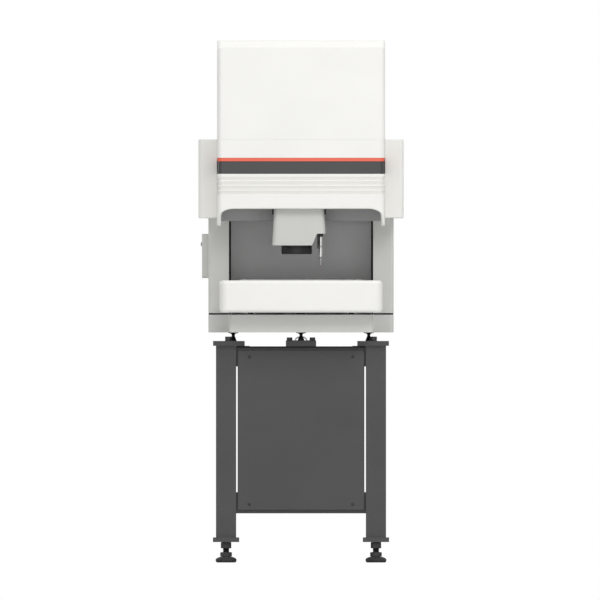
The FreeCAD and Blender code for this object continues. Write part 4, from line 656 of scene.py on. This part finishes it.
shape.grid(turnedGrid(np.stack([ball * np.cos(angle), ballMiddle + ball * np.sin(angle)], -1), centre, 32))
makePiece("rubyBall", shape, ruby, "stylus", sharp=80.0)
print("jacks and probe made")

# Ring light and objective
ringLight = {"leds": 24, "ledRadius": 2.2 * mm, "circle": 35 * mm, "bore": 24 * mm, "lens": 15 * mm}
low, high = nodeBox("ring_light")
centre = np.array([(low[0] + high[0]) / 2, (low[1] + high[1]) / 2, 0.0])
outer = (high[0] - low[0]) / 2
shape = turnedShape([(ringLight["bore"], low[2]), (outer - 2 * mm, low[2]), (outer, low[2] + 2 * mm),
                     (outer, low[2] + 16 * mm), (outer - 0.8 * mm, low[2] + 16.6 * mm),
                     (outer - 0.8 * mm, low[2] + 17.8 * mm), (outer, low[2] + 18.4 * mm),
                     (outer, high[2]), (ringLight["bore"], high[2])],
                    np.array([0.5, 0.6, 0.6, 0.2, 0.2, 0.2, 0.2, 0.3, 0.3]) * mm, centre, 80)
makePiece("ringLamp", shape, finishes["optics_black"], "head", ["ring_light"])
leds = Shape()
arc = np.linspace(0, quarter, 5)
dome = np.stack([ringLight["ledRadius"] * np.cos(arc), low[2] + 0.2 * mm * (1 - np.sin(arc))], -1)
for step in range(ringLight["leds"]):
    turn = 2 * math.pi * step / ringLight["leds"]
    spot = centre + [ringLight["circle"] * math.cos(turn), ringLight["circle"] * math.sin(turn), 0]
    leds.closed(turnedGrid(dome, spot, 12))
makePiece("ringLeds", leds, ledGlow, "head")
nose = nodeBox("optics")[0][2]
arc = np.linspace(0, 1, 9)
bulge = np.stack([ringLight["lens"] * arc, nose - 0.1 * mm - 1.2 * mm * (1 - arc ** 2)], -1)
shape = Shape()
shape.closed(turnedGrid(np.concatenate([bulge, [[ringLight["lens"], nose - 0.05 * mm]]]), centre, 48))
makePiece("frontLens", shape, lensGlass, "head", sharp=60.0)

# Push button on the switch box
button = {"dish": 0.8 * mm, "edge": 1 * mm}
low, high = nodeBox("power_button")
centre = (0.0, (low[1] + high[1]) / 2, (low[2] + high[2]) / 2)
radius = (high[1] - low[1]) / 2
shape = turnedShape([(0, high[0]), (radius, high[0]), (radius, low[0] + button["edge"]),
                     (radius - button["edge"], low[0]), (radius * 0.7, low[0]),
                     (radius * 0.6, low[0] + button["dish"]), (0, low[0] + button["dish"])],
                    np.array([0, 0.2, 0.5, 0.5, 0.3, 0.5, 0]) * mm, centre, 48, "x")
makePiece("pushButton", shape, finishes["button_grey"], "button", ["power_button"])

# Screws of the front panel: button heads with a hexagon socket
panelScrew = {"head": 4.6 * mm, "tall": 1.8 * mm, "x": 153.4 * mm, "low": 173.1 * mm, "high": 610.7 * mm}


def screwHead(shape, spot, radius, tall):
    # a domed head that faces the front, with a hexagon socket in its middle: rings whose radius and
    # height follow cos and sin of a quarter turn, then two rings of the hexagon's reach
    arc = np.linspace(0, quarter, 6)
    domeR = radius * (0.62 + 0.38 * np.cos(arc))
    domeH = tall * np.sin(arc)
    angle = np.linspace(0, 2 * math.pi, 36, endpoint=False)
    hexagon = radius * 0.42 / np.cos(np.mod(angle, math.pi / 3) - math.pi / 6)
    reach = np.vstack([np.tile(domeR[:, None], (1, 36)), hexagon[None], hexagon[None]])
    height = np.concatenate([domeH, [tall, tall * 0.35]])[:, None]
    across = reach * np.cos(angle)
    up = reach * np.sin(angle)
    deep = np.broadcast_to(height, across.shape)
    shape.closed(np.stack([across, -deep, up], -1) + np.asarray(spot))


screws = Shape()
panelFront = nodeBox("front_panel")[0][1]
for x in (-panelScrew["x"], panelScrew["x"]):
    for z in (panelScrew["low"], panelScrew["high"]):
        screwHead(screws, (x, panelFront, z), panelScrew["head"], panelScrew["tall"])
makePiece("panelScrews", screws, screwBlack, "machine")

# Bent wire over the front jack
wire = {"radius": 2 * mm, "reach": 19 * mm, "top": 672 * mm, "behind": 14 * mm}
angle = np.linspace(0, math.pi, 25)[:, None]
turn = np.linspace(0, 2 * math.pi, 13)[:-1][None]
base = blockHigh[2]
reachX = wire["reach"] - wire["radius"]
reachZ = wire["top"] - wire["radius"] - base
middle = np.stack([reachX * np.cos(angle), reachZ * np.sin(angle)], -1)
slope = np.stack([np.cos(angle) / reachX, np.sin(angle) / reachZ], -1)
slope /= np.linalg.norm(slope, axis=-1, keepdims=True)
spotX = middle[..., 0] + slope[..., 0] * wire["radius"] * np.cos(turn)
spotZ = base + middle[..., 1] + slope[..., 1] * wire["radius"] * np.cos(turn)
spotY = padCentreY["front"] + wire["behind"] + wire["radius"] * np.sin(turn) + 0 * angle
shape = Shape()
shape.closed(np.stack([spotX, spotY, spotZ], -1))
makePiece("jackWire", shape, wireSteel, "machine")
print("small parts made")

# Black strips that paint the shade of gaps (painted shade): round the feet of the columns, beside the rear
# panel, and on the front rail of the stand
gapStrip = {"deep": 2.2 * mm, "tall": 4.9 * mm, "inset": 3 * mm, "slack": 0.3 * mm, "thick": 12 * mm,
        "railFront": 3.5 * mm, "railTall": 5 * mm, "plateIn": 40 * mm, "plateDeep": 70 * mm,
        "rail": 15 * mm, "edging": 2.2 * mm}


def block(shape, low, high, edge=0.4 * mm):
    # an upright box with round upright edges and a small bevel above and below
    inset = np.array([edge / 2, 0, 0, edge / 2])[:, None] * [1, 1]
    height = np.array([low[2], low[2] + edge / 2, high[2] - edge / 2, high[2]])
    x, y = roundRings(np.array(low[:2]) + inset, np.array(high[:2]) - inset, edge, 3)
    shape.closed(np.stack([x, y, np.broadcast_to(height[:, None], x.shape)], -1))


shadeStrips = Shape()
# rings round the column feet: black strips painting the shade of the gap under the columns
for node in ("column_left", "column_right"):
    low, high = nodeBox(node)
    ring = np.array([gapStrip["inset"], gapStrip["inset"] - gapStrip["deep"]])[[0, 1, 1, 0], None] * [1, 1]
    x, y = roundRings(low[:2] + ring, high[:2] - ring, 0.5 * mm, 3)
    height = low[2] + np.array([0.1 * mm, 0.1 * mm, gapStrip["tall"], gapStrip["tall"]])[:, None]
    shadeStrips.grid(np.stack([x, y, np.broadcast_to(height, x.shape)], -1), wrapRows=True)
panelLow, panelHigh = nodeBox("rear_panel")
columnIn = nodeBox("column_right")[0][0]
# upright black strips between the rear panel and the columns, painting the shade of that gap
for sign in (-1, 1):
    across = sorted([sign * (panelHigh[0] + gapStrip["slack"]), sign * (columnIn - gapStrip["slack"])])
    footAcross = sorted([across[0], across[1], sign * (columnIn + 0.7 * mm)])[::2]
    block(shadeStrips, (footAcross[0], panelLow[1] + 2 * mm, panelLow[2] + 0.2 * mm),
          (footAcross[1], panelLow[1] + gapStrip["thick"], panelLow[2] + gapStrip["tall"]))
    block(shadeStrips, (across[0], panelLow[1] + 2 * mm, panelLow[2] + gapStrip["tall"]),
          (across[1], panelLow[1] + gapStrip["thick"], panelHigh[2] - 1 * mm))
makePiece("sideShadeStrips", shadeStrips, gapShadeBlack, "machine")
beamLow, beamHigh = nodeBox("x_beam")
baffle = Shape()
block(baffle, (-panelHigh[0], beamHigh[1] + 0.5 * mm, panelHigh[2] + 0.1 * mm),
      (panelHigh[0], panelHigh[1], beamLow[2] - 0.5 * mm))
makePiece("rearBaffle", baffle, finishes["panel_grey"], "machine")
guideLow, guideHigh = nodeBox("y_rails")
# black end caps of the guides; they also stand in for the shade under the stage front (partly painted shade)
caps = Shape()
for left in (guideLow[0], guideHigh[0] - gapStrip["rail"]):
    block(caps, (left + 0.2 * mm, guideLow[1] - 1.5 * mm, guideLow[2] + 0.3 * mm),
          (left + gapStrip["rail"] - 0.2 * mm, guideLow[1], guideHigh[2] - 0.2 * mm))
makePiece("guideCaps", caps, gapShadeBlack, "machine")
railLow, railHigh = nodeBox("cross_rails")
plateUnder = standTop - foot["plate"]
shadeStrips = Shape()
# a black strip along the top of the front rail, painting the shade under the rail's top edge
block(shadeStrips, (railLow[0] + 0.3 * mm, railLow[1] - gapStrip["railFront"], railHigh[2] - gapStrip["railTall"]),
      (railHigh[0] - 0.3 * mm, railLow[1], railHigh[2]))
# black blocks under the top plates, painting their shadow on the rail
for sign in (-1, 1):
    across = sorted([sign * (railHigh[0] - gapStrip["plateIn"]), sign * (railHigh[0] - 0.3 * mm)])
    block(shadeStrips, (across[0], railLow[1] - gapStrip["railFront"], railHigh[2]),
          (across[1], railLow[1] + gapStrip["plateDeep"], plateUnder))
makePiece("railShadeStrips", shadeStrips, gapShadeBlack, "machine")
sheetLow, sheetHigh = nodeBox("front_panel")
edging = Shape()
for sign in (-1, 1):
    across = sorted([sign * sheetHigh[0], sign * (sheetHigh[0] + gapStrip["edging"])])
    block(edging, (across[0], sheetLow[1] + 0.5 * mm, sheetLow[2]),
          (across[1], sheetHigh[1] - 0.5 * mm, sheetHigh[2]))
makePiece("panelEdging", edging, finishes["stand_paint"], "machine")
print("seals made")

# Ball screws, cut with the lead that their joints turn by
ballScrew = {"lead": 10 * mm, "groove": 1.1 * mm, "steps": 20, "turns": 16}
for axis in "xyz":
    node = axis + "_screw"
    low, high = nodeBox(node)
    run = "xyz".index(axis)
    middle = (low + high) / 2
    middle[run] = 0.0
    radius = (high[(run + 1) % 3] - low[(run + 1) % 3]) / 2
    shape = Shape()
    shape.closed(threadedGrid(radius, ballScrew["groove"], ballScrew["lead"], low[run], high[run], middle,
                              ballScrew["steps"], ballScrew["turns"], axis))
    makePiece(axis + "Screw", shape, finishes["screw_steel"], node, [node])


# Floor, camera and light
def addPlane(name, size, spot, material):
    mesh = bpy.data.meshes.new(name)
    corners = np.array([(-1, -1, 0), (1, -1, 0), (1, 1, 0), (-1, 1, 0)]) * size / 2 + spot
    mesh.from_pydata(corners, [], [(0, 1, 2, 3)])
    mesh.materials.append(material)
    piece = bpy.data.objects.new(name, mesh)
    bpy.context.scene.collection.objects.link(piece)
    return piece


floorFinish = Finish(bpy.data.materials.new("paleFloor"))
mottle = floorFinish.noise(1.2, 4.0)
floorTone = floorFinish.mix(mottle, (0.8, 0.8, 0.8, 1.0), (0.84, 0.84, 0.84, 1.0))
addPlane("floor", 60.0, np.array([0.0, 0.0, 0.0]),
                  floorFinish.done({"Base Color": floorTone, "Roughness": 0.9}))

view = {"scale": 1.7814, "x": -0.003, "z": 0.7794, "away": 6.0}
camera = bpy.data.cameras.new("camera")
camera.type = "ORTHO"
camera.ortho_scale = view["scale"]
cameraObject = bpy.data.objects.new("camera", camera)
cameraObject.location = (view["x"], -view["away"], view["z"])
cameraObject.rotation_euler = (quarter, 0.0, 0.0)
bpy.context.scene.collection.objects.link(cameraObject)
bpy.context.scene.camera = cameraObject

lamps = {"frontLeft": ((-2.3, -3.3, 4.1), (2.0, 2.0), 46.0),
         "frontRight": ((2.4, -3.3, 4.1), (2.0, 2.0), 81.0),
         "frontLow": ((0.2, -4.2, 0.8), (3.2, 1.2), 27.0),
         "topSoft": ((0.2, -0.6, 4.2), (3.0, 3.0), 20.0),
         "rearSoft": ((-3.0, 3.2, 2.4), (2.6, 2.6), 34.0)}
aim = np.array([0.0, 0.0, 0.85])
for name, (spot, size, power) in lamps.items():
    lamp = bpy.data.lights.new(name, "AREA")
    lamp.shape = "RECTANGLE"
    lamp.size = size[0]
    lamp.size_y = size[1]
    lamp.energy = power
    holder = bpy.data.objects.new(name, lamp)
    holder.location = spot
    holder.visible_camera = False
    holder.rotation_euler = Vector(aim - np.array(spot)).to_track_quat("-Z", "Y").to_euler()
    bpy.context.scene.collection.objects.link(holder)

world = bpy.data.worlds.new("studio")
bpy.context.scene.world = world
sky = Finish(world)
rays = [sky.node("ShaderNodeLightPath", out=kind)
        for kind in ("Is Camera Ray", "Is Glossy Ray", "Is Transmission Ray")]
seen = sky.node("ShaderNodeMath", {"operation": "ADD", "use_clamp": True}, {0: rays[0] + rays[1], 1: rays[2]})
ambient = 0.32
backdrop = sky.node("ShaderNodeBackground", values={"Color": (1.0, 1.0, 1.0, 1.0),
                                                    "Strength": seen * (1.0 - ambient) + ambient})
sky.node("ShaderNodeOutputWorld", values={"Surface": backdrop})
bpy.context.scene.view_settings.view_transform = "Standard"
